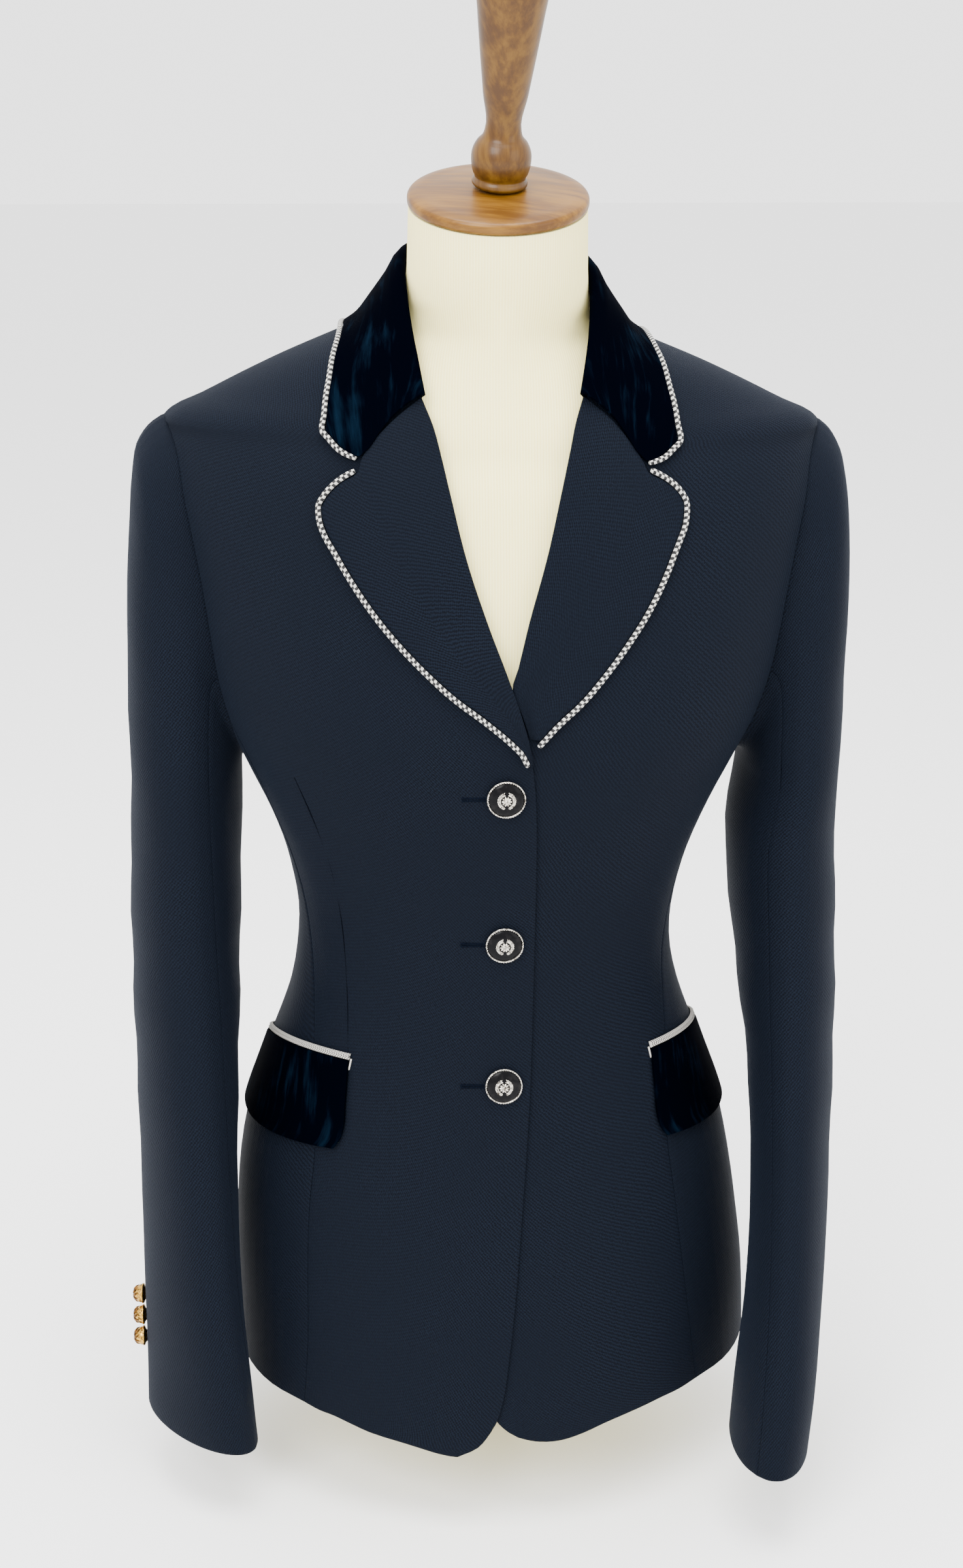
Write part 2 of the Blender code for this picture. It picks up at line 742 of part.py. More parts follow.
def back_panel(side):
    name = "back_left" if side > 0 else "back_right"
    columns = 8
    sites = []
    for row_rise in TOP_ROWS + BODY_ROWS:
        rise = side_hem(row_rise, side)
        if rise > 0.0:
            outer = side * pi / 2
        elif rise > UNDERARM_ROW:
            outer = armhole_turn(rise, side, True)
        elif rise == UNDERARM_ROW:
            outer = underarm_sites(side, 7)[-1][1]
        else:
            outer = side * radians(BACK_SEAM.read("turn", rise))
        turns = even_turns(rise, outer, side * pi, columns)
        sites.append([coat_site(rise, turn) for turn in turns])
    if side < 0:
        sites = [line[::-1] for line in sites]
    return cloth_sheet(name, sites, CLOTH_WALL, WOOL)


def armhole_ring(side):
    """The whole armhole, from the shoulder point down the front and up the back, as (rise, turn)."""
    front = [(rise, armhole_turn(rise, side, False)) for rise in (0.0,) + ARMHOLE_ROWS[:-1]]
    bottom = underarm_sites(side, 7)
    back = [(rise, armhole_turn(rise, side, True)) for rise in ARMHOLE_ROWS[-2::-1]]
    return front + bottom + back


def sleeve_ring(table, side, rise, shares):
    """One level section of the sleeve. Share 0 is outermost, a quarter in front, a half inside."""
    across, depth, long, short, turn, slope = table.row(rise)
    turn = radians(turn)
    points = []
    for share in shares:
        angle = 2 * pi * share
        out = short * cos(angle)
        ahead = long * sin(angle)
        x = across + out * cos(turn) - ahead * sin(turn)
        y = depth - ahead * cos(turn) - out * sin(turn)
        points.append(Vector((side * x, y, SHOULDER_HEIGHT + rise + slope * (depth - y))))
    return points


def sleeve(side):
    """Top sleeve and undersleeve, parted at the inner front and the outer back."""
    label = "left" if side > 0 else "right"
    table = SLEEVE_LEFT if side > 0 else SLEEVE_RIGHT
    ring = armhole_ring(side)
    start = [body_point(rise, turn) for rise, turn in ring]
    start_normals = [body_normal(rise, turn) for rise, turn in ring]
    count = len(ring)
    lowest = count // 2
    lengths = [0.0]
    for place in range(count):
        lengths.append(lengths[-1] + (start[(place + 1) % count] - start[place]).length)
    shares = []
    for place in range(count):
        if place <= lowest:
            shares.append(0.5 * lengths[place] / lengths[lowest])
        else:
            rest = lengths[place] - lengths[lowest]
            shares.append(0.5 + 0.5 * rest / (lengths[count] - lengths[lowest]))
    first = sleeve_ring(table, side, table.keys[-1], shares)
    rows = []
    for drop, spread in zip(SLEEVE_HEAD.keys, SLEEVE_HEAD.columns[label]):
        row = []
        for a, b in zip(start, first):
            forward = 0.35 * spread + 0.65 * drop
            row.append(Vector((a.x + (b.x - a.x) * spread, a.y + (b.y - a.y) * forward,
                               a.z + (b.z - a.z) * drop)))
        rows.append(row)
    for rise in SLEEVE_DROPS + (table.keys[0],):
        rows.append(sleeve_ring(table, side, rise, shares))
    normals = grid_normals(rows, closed=True)
    if side > 0:
        normals = [[-normal for normal in line] for line in normals]
    normals[0] = start_normals
    front_split, back_split = 7, 15
    parts = {
        "under": list(range(front_split, back_split + 1)),
        "top": list(range(back_split, count)) + list(range(0, front_split + 1))}
    for part, order in parts.items():
        sites = [[(rows[i][j], normals[i][j]) for j in order] for i in range(len(rows))]
        if side > 0:
            sites = [line[::-1] for line in sites]
        sites = [line[::-1] for line in sites]
        cloth_sheet("sleeve_{}_{}".format(part, label), sites, CLOTH_WALL, WOOL)


def along(table, rises, count, first=None, last=None):
    """Even steps along a table's first column, as (across, rise) pairs."""
    low = table.keys[0] if first is None else first
    high = table.keys[-1] if last is None else last
    steps = [low + (high - low) * i / (count - 1) for i in range(count)]
    return [(table.read("across", step), table.read(rises, step)) for step in steps]


def lapel_grid(side, rows):
    """The lapel's front view: columns run out from the roll line, rows run down from the gorge."""
    label = "left" if side > 0 else "right"
    edge = LEFT_LAPEL_EDGE if side > 0 else RIGHT_LAPEL_EDGE
    roll = LEFT_EDGE if side > 0 else RIGHT_EDGE
    end = LAPEL_END[label]
    top = along(LAPEL_TOP, label, 7)
    columns = len(top)
    outer = along(edge, "rise", rows)
    first_rise = top[0][1]
    inner = []
    for i in range(rows):
        rise = first_rise + (end - first_rise) * i / (rows - 1)
        across = side * roll.read("across", rise)
        if side > 0:
            across = max(across, RIGHT_EDGE.read("across", rise) + LEFT_LAPEL_CLEAR)
        inner.append((across, rise))
    grid = []
    for i in range(rows):
        v = i / (rows - 1)
        line = []
        for j in range(columns):
            u = j / (columns - 1)
            point = []
            for axis in (0, 1):
                bottom = inner[-1][axis] * (1 - u) + outer[-1][axis] * u
                corner = (inner[0][axis] * (1 - u) + top[-1][axis] * u) * (1 - v) + bottom * v
                point.append(inner[i][axis] * (1 - u) + outer[i][axis] * u
                             + top[j][axis] * (1 - v) + bottom * v - corner)
            line.append(point)
        grid.append(line)
    return grid


def laid_site(side, across, rise, height):
    """A place at a height above the front that it lies on."""
    point, normal = front_site(side, side * across, rise)
    return point + normal * height, normal


def lapel(side):
    name = "lapel_left" if side > 0 else "lapel_right"
    height = LAY_GAP + LAPEL_WALL
    sites = [[laid_site(side, across, rise, height) for across, rise in line]
             for line in lapel_grid(side, 15)]
    if side < 0:
        sites = [line[::-1] for line in sites]
    return cloth_sheet(name, sites, LAPEL_WALL, WOOL)


def offset_line(line, distance):
    """A flat line moved sideways to its left."""
    moved = []
    for place, (x, y) in enumerate(line):
        before = line[max(place - 1, 0)]
        after = line[min(place + 1, len(line) - 1)]
        along_x, along_y = after[0] - before[0], after[1] - before[1]
        size = hypot(along_x, along_y)
        moved.append((x - along_y / size * distance, y + along_x / size * distance))
    return moved


def lapel_piping(side):
    label = "left" if side > 0 else "right"
    edge = LEFT_LAPEL_EDGE if side > 0 else RIGHT_LAPEL_EDGE
    line = along(LAPEL_TOP, label, 5, first=3.15, last=5.9) + along(edge, "rise", 21, first=0.35)
    line = offset_line(line, PIPING_RADIUS + SEAM_GAP)
    height = PIPING_RADIUS + LAY_GAP
    sites = [laid_site(side, across, rise, height) for across, rise in line]
    return cord("piping_lapel_" + label, sites, PIPING_RADIUS, 6, PIPING)


def near_gorge(station):
    """One at the collar's front end, fading to nothing up by the shoulder."""
    return max(0.0, 1.0 - station / 1.6) ** 1.6


def collar_ease(station):
    """The collar lies closest in front and stands off a little more over the shoulder ridge."""
    return COLLAR_EASE * ramp(station / 2.5)


def collar_half(side):
    """Half of the collar's middle surface, from the gorge to centre back: one row of points from
    the stand's lower edge over the fold to the fall's outer edge."""
    label = "left" if side > 0 else "right"
    rows = []
    for station in COLLAR_STATIONS:
        stand, fold, fall = (Vector(table.row(station)) for table in (STAND_LINE, FOLD_LINE, FALL_LINE))
        for point in (stand, fold, fall):
            point.x *= side
            point.z += SHOULDER_HEIGHT - sunk(point.x, 0.0) * (1 - near_gorge(station))
        down_stand = (stand - fold).normalized()
        down_fall = (fall - fold).normalized()
        crest = -(down_stand + down_fall).normalized()
        apart = (down_fall - down_stand)
        apart = (apart - crest * apart.dot(crest)).normalized()
        inside, outside = fold - apart * COLLAR_TURN, fold + apart * COLLAR_TURN
        line = [stand, stand.lerp(inside, 0.5), inside, fold + crest * COLLAR_TURN]
        near_end = near_gorge(station)
        for share in FALL_SHARES:
            point = outside.lerp(fall, share)
            bulge = COLLAR_BULGE * sin(pi * share) * (1 - near_end)
            point = point + apart * bulge
            end_across, end_rise = COLLAR_END.read("across", share), COLLAR_END.read(label, share)
            end_point, _ = laid_site(side, end_across, end_rise, LAY_GAP + COLLAR_WALL / 2)
            straight = Vector(FOLD_LINE.row(0.0)).lerp(Vector(FALL_LINE.row(0.0)), share)
            straight = Vector((side * straight.x, straight.y, straight.z + SHOULDER_HEIGHT))
            point = point + (end_point - straight) * near_end * ramp(share / FALL_SHARES[1])
            needed = LAY_GAP + COLLAR_WALL / 2 + collar_ease(station)
            line.append(clear_of_coat(point, needed) if share > 0 else point)
        rows.append(line)
    return rows


def collar_middle():
    """The whole collar's middle surface, from the left gorge round the neck to the right."""
    points = collar_half(1) + collar_half(-1)[-2::-1]
    return points, grid_normals(points)


def collar():
    points, normals = collar_middle()
    sites = [[(point + normal * (COLLAR_WALL / 2), normal)
              for point, normal in zip(line, normal_line)]
             for line, normal_line in zip(points, normals)]
    return cloth_sheet("collar", sites, COLLAR_WALL, VELVET)


def beside_edge(edge, normal, out, height):
    """A cord's centre beside an edge of the collar, at least a height above the coat."""
    reach = PIPING_RADIUS + TOUCH_GAP
    rims = (edge + normal * (COLLAR_WALL / 2), edge - normal * (COLLAR_WALL / 2))
    centre = clear_of_coat(edge + out * reach, height)
    _, ground = over_coat(centre)
    level = (out - ground * out.dot(ground)).normalized()
    for _ in range(8):
        short = reach - min((centre - rim).length for rim in rims)
        if short <= 0:
            break
        centre = clear_of_coat(centre + level * (short + TOUCH_GAP / 2), height)
    return centre


def collar_piping():
    """The cord along the collar's notch edges and right round its fall."""
    points, normals = collar_middle()
    eases = [collar_ease(station) for station in COLLAR_STATIONS]
    eases += eases[-2::-1]
    ends = ((-3, 0.14), (-2, 0.0), (-2, 0.8))
    edges = [(points[0][first].lerp(points[0][first + 1], share), normals[0][first], 0.0)
             for first, share in ends]
    edges += [(line[-1], normal_line[-1], ease)
              for line, normal_line, ease in zip(points, normals, eases)]
    edges += [(points[-1][first].lerp(points[-1][first + 1], share), normals[-1][first], 0.0)
              for first, share in reversed(ends)]
    path = []
    for place, (edge, normal, ease) in enumerate(edges):
        steps = [after[0] - before[0] for before, after in zip(edges, edges[1:])]
        behind, ahead = (normal.cross(steps[max(0, min(step, len(steps) - 1))]).normalized()
                         for step in (place - 1, place))
        out = (ahead + behind) / (1 + ahead.dot(behind))
        path.append((beside_edge(edge, normal, out, PIPING_RADIUS + LAY_GAP + ease), normal))
    return cord("piping_collar", path, PIPING_RADIUS, 6, PIPING)


FLAP_STEPS = [FLAP_LENGTH * i / 12 for i in range(13)]


def girth_turns(rise, side, start_across, distances):
    """Turns at distances round the side, measured from a place on the front."""
    first = turn_at_across(rise, side * start_across)
    fine = 160
    turns = [first + side * pi * i / fine for i in range(fine + 1)]
    found = []
    travelled = 0.0
    place = 0
    previous = body_point(rise, turns[0])
    for distance in distances:
        while place < fine:
            following = body_point(rise, turns[place + 1])
            step = (following - previous).length
            if travelled + step >= distance:
                break
            travelled += step
            previous = following
            place += 1
        found.append(turns[place] + (turns[place + 1] - turns[place]) * (distance - travelled) / step)
    return found


def pocket_turns(side, down):
    """Turns of the pocket's columns, from its inner end; down is 0 at its top and 1 at the flap's foot."""
    start = FLAP_START + FLAP_LEAN * down + FLAP_CORNER * max(0.0, down * 4 - 3) ** 2
    rise = FLAP_TOP + (FLAP_BOTTOM - FLAP_TOP) * down
    return girth_turns(rise, side, start, FLAP_STEPS)


def flap(side):
    name = "flap_left" if side > 0 else "flap_right"
    sites = []
    for down in (0.0, 0.25, 0.5, 0.75, 0.9, 1.0):
        lift = LAY_GAP + FLAP_WALL + FLAP_KICK * down ** 1.5
        line = []
        for distance, turn in zip(FLAP_STEPS, pocket_turns(side, down)):
            top = FLAP_TOP - FLAP_SLANT * distance ** 2
            bottom = FLAP_BOTTOM - FLAP_FALL * distance
            point, normal = coat_site(top + (bottom - top) * down, turn)
            line.append((point + normal * lift, normal))
        sites.append(line)
    if side < 0:
        sites = [line[::-1] for line in sites]
    return cloth_sheet(name, sites, FLAP_WALL, VELVET)


def welt(side):
    """The double piping over the flap, as one flat cord."""
    name = "welt_left" if side > 0 else "welt_right"
    crown = (0.35, 1.0, 0.72, 1.0, 0.35)
    outer, inner = [], []
    for step, share in zip((4, 3, 2, 1, 0), crown):
        outer_line, inner_line = [], []
        for distance, turn in zip(FLAP_STEPS, pocket_turns(side, 0.0)):
            top = FLAP_TOP - FLAP_SLANT * distance ** 2
            point, normal = coat_site(top + SEAM_GAP + WELT_RADIUS * step, turn)
            inner_line.append(point + normal * LAY_GAP)
            outer_line.append(point + normal * (LAY_GAP + 2 * WELT_RADIUS * share))
        outer.append(outer_line if side > 0 else outer_line[::-1])
        inner.append(inner_line if side > 0 else inner_line[::-1])
    return walled(name, outer, inner, PIPING)


def facing(point, normal):
    """A placement whose Z axis looks along the normal."""
    return Matrix.Translation(point) @ normal.to_track_quat("Z", "Y").to_matrix().to_4x4()


def front_buttons():
    profile = ((0.60, 0.0), (0.93, 0.0006), (1.0, 0.0018), (0.90, 0.0030), (0.55, 0.0044), (0.20, 0.0050))
    for number, rise in enumerate(BUTTON_RISES, start=1):
        point, normal = front_site(-1, 0.0, rise)
        place = facing(point + normal * TOUCH_GAP, normal)
        rows = [(share * BUTTON_RADIUS, height) for share, height in profile]
        turned("front_button_{}".format(number), rows, 20, BUTTON, place)


def cuff_buttons(side):
    """Three small domes by the outer back seam, above the cuff."""
    label = "left" if side > 0 else "right"
    profile = ((0.55, 0.0), (0.50, 0.0018), (1.0, 0.0030), (0.97, 0.0046), (0.74, 0.0072), (0.28, 0.0088))
    table = SLEEVE_LEFT if side > 0 else SLEEVE_RIGHT
    share = CUFF_BUTTON_SHARE[label]
    for number in (1, 2, 3):
        rise = LOWEST_CUFF_BUTTON[label] + CUFF_BUTTON_STEP * (3 - number)
        ring = sleeve_ring(table, side, rise, (share - 0.01, share, share + 0.01))
        lower = sleeve_ring(table, side, rise - 0.005, (share,))[0]
        around = ring[2] - ring[0]
        normal = around.cross(lower - ring[1]).normalized() * side
        if normal.x * side < 0:
            normal = -normal
        place = facing(ring[1] + normal * CUFF_BUTTON_SEAT, normal)
        shape = [(part * CUFF_BUTTON_RADIUS, height) for part, height in profile]
        turned("cuff_button_{}_{}".format(label, number), shape, 12, BUTTON, place)


def form_ring(rise, sides):
    """One ring of the dress form: inside the coat below the shoulders, its own shape above."""
    coat_half, coat_front, coat_back, mid, middle, coat_power = BODY.row(rise)
    sides_ease, ends_ease = EASE.row(rise)
    half = coat_half - CLOTH_WALL - sides_ease
    front = coat_front + CLOTH_WALL + ends_ease
    back = coat_back - CLOTH_WALL - ends_ease
    lean, power = 0.0, coat_power
    share = ramp((rise + 0.030) / 0.018)
    if share > 0:
        own = NECK.row(rise)
        half += (own[0] - half) * share
        front += (own[1] - front) * share
        back += (own[2] - back) * share
        power += (own[4] - power) * share
        lean = radians(own[3])
    body_share = 1 - ramp((rise - 0.058) / 0.045)
    mid += ((front + back) / 2 - mid) * ramp((rise - 0.040) / 0.045)
    ring = []
    for side in range(sides):
        turn = 2 * pi * side / sides
        sine, cosine = sin(turn), cos(turn)
        depth = mid - front if cosine > 0 else back - mid
        x = middle + half * copysign(abs(sine) ** (2 / power), sine)
        y = mid - depth * copysign(abs(cosine) ** (2 / power), cosine)
        centre = (front + back) / 2
        z = SHOULDER_HEIGHT + rise - sunk(x, rise) * body_share + tan(lean) * (y - centre)
        ring.append(Vector((x, y, z)))
    return ring


FORM_ROWS = (TORSO_BOTTOM, -0.54, -0.48, -0.42, -0.375, -0.34, -0.30, -0.26, -0.21, -0.17, -0.13, -0.09,
             -0.06, -0.035, -0.018, -0.006, 0.003, 0.012, 0.022, 0.032, 0.042, 0.051, 0.061, 0.072,
             0.085, 0.100)


def form_torso():
    sides = 32
    rings = [form_ring(rise, sides) for rise in FORM_ROWS]
    tilt = Matrix.Translation(CAP_CENTRE) @ Matrix.Rotation(CAP_TILT, 4, "X")
    turns = [2 * pi * side / sides for side in range(sides)]
    rings.append([tilt @ Vector((NECK_TOP_RADIUS * sin(turn), -NECK_TOP_RADIUS * cos(turn), -NECK_TOP_GAP))
                  for turn in turns])
    corners = [corner for ring in rings for corner in ring]
    faces = [tuple(reversed(range(sides)))]
    for row in range(len(rings) - 1):
        for side in range(sides):
            a = row * sides + side
            b = row * sides + (side + 1) % sides
            faces.append((a, b, b + sides, a + sides))
    faces.append(tuple(range(len(corners) - sides, len(corners))))
    return make_object("form_torso", corners, faces, JERSEY)


CAP_PROFILE = ((4.95, -0.05), (5.25, 0.12), (5.25, 0.50), (5.02, 0.66), (3.0, 0.86), (1.55, 0.94))
FINIAL_PROFILE = (
    (1.45, 1.05), (1.62, 1.20), (1.62, 1.42), (1.28, 1.55), (1.55, 1.88), (1.70, 2.45), (1.64, 3.05),
    (1.36, 3.60), (1.06, 3.95), (1.04, 4.25), (1.30, 6.40), (1.60, 8.60), (1.88, 10.8), (2.06, 12.4),
    (1.94, 13.6), (1.35, 14.4), (0.50, 14.8))


def neck_cap_and_finial():
    place = Matrix.Translation(CAP_CENTRE) @ Matrix.Rotation(CAP_TILT, 4, "X")
    rows = [(radius * CENTIMETRE, height * CENTIMETRE) for radius, height in CAP_PROFILE]
    turned("form_neck_cap", rows, 32, WOOD, place)
    rows = [(radius * CENTIMETRE, height * CENTIMETRE) for radius, height in FINIAL_PROFILE]
    turned("form_finial", rows, 20, WOOD, place @ Matrix.Rotation(FINIAL_TILT, 4, "Y"))


def post_and_base():
    place = Matrix.Translation((0.0, BASE_CENTRE_Y, 0.0))
    rim = 0.003
    base = ((BASE_RADIUS - rim, 0.0), (BASE_RADIUS, rim), (BASE_RADIUS, BASE_THICKNESS - rim),
            (BASE_RADIUS - rim, BASE_THICKNESS))
    turned("form_base", base, 32, WOOD, place)
    foot = BASE_THICKNESS + SEAM_GAP
    head = SHOULDER_HEIGHT + TORSO_BOTTOM - SEAM_GAP
    post = ((POST_RADIUS * 1.5, foot), (POST_RADIUS * 1.5, foot + 0.006), (POST_RADIUS, foot + 0.014),
            (POST_RADIUS, head - 0.010), (POST_RADIUS * 1.4, head - 0.004), (POST_RADIUS * 1.4, head))
    turned("form_post", post, 20, WOOD, place)


def main():
    for thing in list(bpy.data.objects):
        bpy.data.objects.remove(thing, do_unlink=True)
    form_torso()
    neck_cap_and_finial()
    post_and_base()
    for side in (-1, 1):
        front_panel(side)
        side_panel(side)
        back_panel(side)
        sleeve(side)
        lapel(side)
        lapel_piping(side)
        flap(side)
        welt(side)
        cuff_buttons(side)
    collar()
    collar_piping()
    front_buttons()


main()
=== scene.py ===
# Navy show coat with a velvet collar on a dress form: fine cloth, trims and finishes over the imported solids.
from math import acos, asin, atan2, copysign, cos, hypot, pi, radians, sin, tan

import bmesh
import bpy
import numpy as np
from mathutils import Matrix, Vector


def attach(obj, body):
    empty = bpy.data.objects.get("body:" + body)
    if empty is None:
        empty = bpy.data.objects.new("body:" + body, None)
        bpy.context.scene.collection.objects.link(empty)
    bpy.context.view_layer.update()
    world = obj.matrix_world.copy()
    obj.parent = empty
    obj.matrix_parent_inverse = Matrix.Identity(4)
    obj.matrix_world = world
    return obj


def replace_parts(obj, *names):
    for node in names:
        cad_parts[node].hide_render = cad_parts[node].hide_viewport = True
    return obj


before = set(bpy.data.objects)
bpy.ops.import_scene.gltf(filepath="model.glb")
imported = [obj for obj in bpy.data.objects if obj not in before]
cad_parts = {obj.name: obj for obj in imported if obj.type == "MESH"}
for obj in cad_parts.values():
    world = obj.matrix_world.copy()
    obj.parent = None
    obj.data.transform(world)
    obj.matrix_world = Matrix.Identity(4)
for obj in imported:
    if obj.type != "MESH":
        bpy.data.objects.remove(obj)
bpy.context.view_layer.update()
print("frame loaded,", len(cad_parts), "solids")

coat = {"shoulderHeight": 0.690, "wall": 0.0016, "seamGap": 0.0003, "touchGap": 0.0004, "layGap": 0.0009,
        "underarm": -0.178, "hip": -0.490, "hipAcross": 0.171, "shoulderDrop": 0.0055, "dropAcross": 0.070,
        "dropDown": 0.120}
lap = {"lift": 0.0026, "from": -0.050, "over": 0.025, "below": -0.100, "within": 0.030}
weave = {"fineness": 3, "seamRound": 0.0005, "seamWidth": 0.0016, "sleeveShort": 0.030, "sleeveLong": 0.0605}
fabric = {"twillPitch": 0.0020, "checkLength": 0.0036, "checksRound": 4, "weltRib": 0.0018,
          "jerseyRib": 0.0017, "jerseyLoop": 0.0011}


# Shader expressions: a Wire is one output socket, and sums on it add Math nodes.
class Wire:
    def __init__(self, paint, socket):
        self.paint, self.socket = paint, socket

    def maths(self, operation, *values):
        return self.paint.add("ShaderNodeMath", {"operation": operation}, dict(enumerate(values)))

    def __add__(self, other):
        return self.maths("ADD", self, other)

    def __radd__(self, other):
        return self.maths("ADD", other, self)

    def __sub__(self, other):
        return self.maths("SUBTRACT", self, other)

    def __rsub__(self, other):
        return self.maths("SUBTRACT", other, self)

    def __mul__(self, other):
        return self.maths("MULTIPLY", self, other)

    def __rmul__(self, other):
        return self.maths("MULTIPLY", other, self)

    def sine(self):
        return self.maths("SINE", self)

    def wave(self, period):  # 0 to 1 over each period
        return (self * (2 * pi / period)).sine() * 0.5 + 0.5

    def within(self, low, high):  # 0 below low, 1 above high, smooth between
        return self.paint.add("ShaderNodeMapRange", {"interpolation_type": "SMOOTHSTEP"},
                              {"Value": self, "From Min": low, "From Max": high})


class Paint:
    def __init__(self, name):
        self.material = bpy.data.materials.new(name)
        self.material.use_nodes = True
        self.tree = self.material.node_tree
        self.shader = self.tree.nodes["Principled BSDF"]

    def add(self, kind, settings, values, output=0):
        node = self.tree.nodes.new(kind)
        for key, setting in settings.items():
            if key == "stops":
                ramp = node.color_ramp
                while len(ramp.elements) < len(setting):
                    ramp.elements.new(0.5)
                for element, (place, colour) in zip(ramp.elements, setting):
                    element.position, element.color = place, (*colour, 1.0)
            else:
                setattr(node, key, setting)
        for key, value in values.items():
            self.join(node.inputs[key], value)
        return Wire(self, node.outputs[output])

    def join(self, socket, value):
        if isinstance(value, Wire):
            self.tree.links.new(value.socket, socket)
        elif isinstance(value, tuple) and len(value) == 3 and socket.type == "RGBA":
            socket.default_value = (*value, 1.0)
        else:
            socket.default_value = value

    def set(self, **values):  # a Principled socket by its name with the spaces left out
        byName = {socket.name.replace(" ", ""): socket for socket in self.shader.inputs}
        for key, value in values.items():
            self.join(byName[key], value)
        return self.material

    def blend(self, share, first, second):
        return self.add("ShaderNodeMix", {"data_type": "RGBA"}, {0: share, 6: first, 7: second}, 2)

    def bump(self, height, depth, strength=1.0, under=None):
        values = {"Strength": strength, "Distance": depth, "Height": height}
        if under is not None:
            values["Normal"] = under
        return self.add("ShaderNodeBump", {}, values)

    def noise(self, vector, scale, detail=2.0, roughness=0.5):
        return self.add("ShaderNodeTexNoise", {}, {"Vector": vector, "Scale": scale, "Detail": detail,
                                                   "Roughness": roughness})

    def place(self):  # the spot on the object, in metres
        return self.add("ShaderNodeTexCoord", {}, {}, 3)

    def stretched(self, vector, scale):
        return self.add("ShaderNodeVectorMath", {"operation": "MULTIPLY"}, {0: vector, 1: scale})

    def cut(self):  # the flat cloth's own metres: across, down
        spot = self.add("ShaderNodeUVMap", {"uv_map": "cut"}, {})
        return spot, self.axis(spot, 0), self.axis(spot, 1)

    def axis(self, vector, number):
        return self.add("ShaderNodeSeparateXYZ", {}, {"Vector": vector}, number)


# Fine diagonal twill of navy wool, each thread a little lighter or darker.
def woolPaint():
    paint = Paint("navyWool")
    spot, across, down = paint.cut()
    pitch = fabric["twillPitch"]
    wander = paint.noise(spot, 420.0, 1.0) * 0.0020
    twill = (across + down * 0.8 + wander).wave(pitch)
    thread = (across - down * 1.1 + wander).wave(pitch * 1.25)
    slub = paint.noise(spot, 900.0, 2.0)
    cloud = paint.noise(paint.place(), 14.0, 3.0)
    lift = twill * 0.65 + thread * 0.35
    shadeShare = (lift * 0.7 + slub * 0.5).within(0.15, 1.05)
    base = paint.blend(shadeShare, (0.0002, 0.0005, 0.0018), (0.0029, 0.0050, 0.0102))
    base = paint.blend(cloud.within(0.35, 0.7) * 0.5, base, (0.0013, 0.0024, 0.0054))
    return paint.set(BaseColor=base, Roughness=0.80, SheenWeight=0.016, SheenRoughness=0.45,
                     SheenTint=(0.40, 0.55, 0.90, 1.0), SpecularIORLevel=0.06,
                     Normal=paint.bump(lift + slub * 0.6, 0.00030, 0.7))


# Short dark pile, brushed downwards, with paler streaks where it lies the other way: the pile's sheen there is
# painted into its colour.
def velvetPaint():
    paint = Paint("navyVelvet")
    spot = paint.cut()[0]
    streak = paint.noise(paint.stretched(spot, (150.0, 22.0, 1.0)), 1.0, 4.0, 0.6)
    pile = paint.noise(paint.stretched(spot, (2600.0, 1500.0, 1.0)), 1.0, 2.0)
    patch = paint.noise(paint.place(), 30.0, 2.0)
    # paler streaks in the base colour: painted sheen of the pile, its real sheen being nearly off
    pale = (streak * 0.6 + patch * 0.4).within(0.50, 0.72)
    base = paint.blend(pale, (0.0000, 0.0002, 0.0012), (0.0014, 0.0050, 0.0110))
    return paint.set(BaseColor=base, Roughness=0.92, SheenWeight=0.002, SheenRoughness=0.30,
                     SheenTint=(0.30, 0.50, 0.90, 1.0), SpecularIORLevel=0.005,
                     Normal=paint.bump(pile + streak * 0.5, 0.00025, 0.6))


# Black and white check tape rolled into a cord.
def checkPaint():
    paint = Paint("checkPiping")
    _, length, around = paint.cut()
    checkLength = fabric["checkLength"]
    twisted = length + around * (checkLength * 0.5)
    check = (twisted * (2 * pi / checkLength)).sine() * (around * (pi * fabric["checksRound"])).sine()
    fuzz = paint.noise(paint.place(), 1800.0, 2.0)
    share = (check + (fuzz - 0.5) * 0.7).within(-0.12, 0.22)
    base = paint.blend(share, (0.002, 0.002, 0.003), (0.50, 0.49, 0.45))
    base = paint.blend(fuzz.within(0.45, 0.8) * 0.35, base, (0.12, 0.115, 0.11))
    weft = (length.wave(checkLength / 4) + (around * 60.0).sine() * 0.5) * 0.5
    return paint.set(BaseColor=base, Roughness=0.75, SheenWeight=0.08, SheenRoughness=0.5,
                     SpecularIORLevel=0.25, Normal=paint.bump(weft + share * 0.4, 0.0002, 0.7))


# Two rows of pale ribs side by side, with dark gaps between the ribs and between the rows: painted shade in
# those grooves.
def weltPaint():
    paint = Paint("weltPiping")
    _, length, around = paint.cut()
    rib = length.wave(fabric["weltRib"]).within(0.10, 0.50)
    row = (around * (2 * pi)).sine().maths("ABSOLUTE").within(0.10, 0.50)
    fuzz = paint.noise(paint.place(), 1800.0, 2.0)
    # dark where the ribs and the rows dip: painted shade in the grooves
    base = paint.blend(rib * row, (0.012, 0.011, 0.011), (0.46, 0.44, 0.40))
    base = paint.blend(fuzz.within(0.45, 0.8) * 0.3, base, (0.12, 0.115, 0.11))
    return paint.set(BaseColor=base, Roughness=0.75, SpecularIORLevel=0.15,
                     Normal=paint.bump(rib * row + fuzz * 0.3, 0.0003, 0.8))


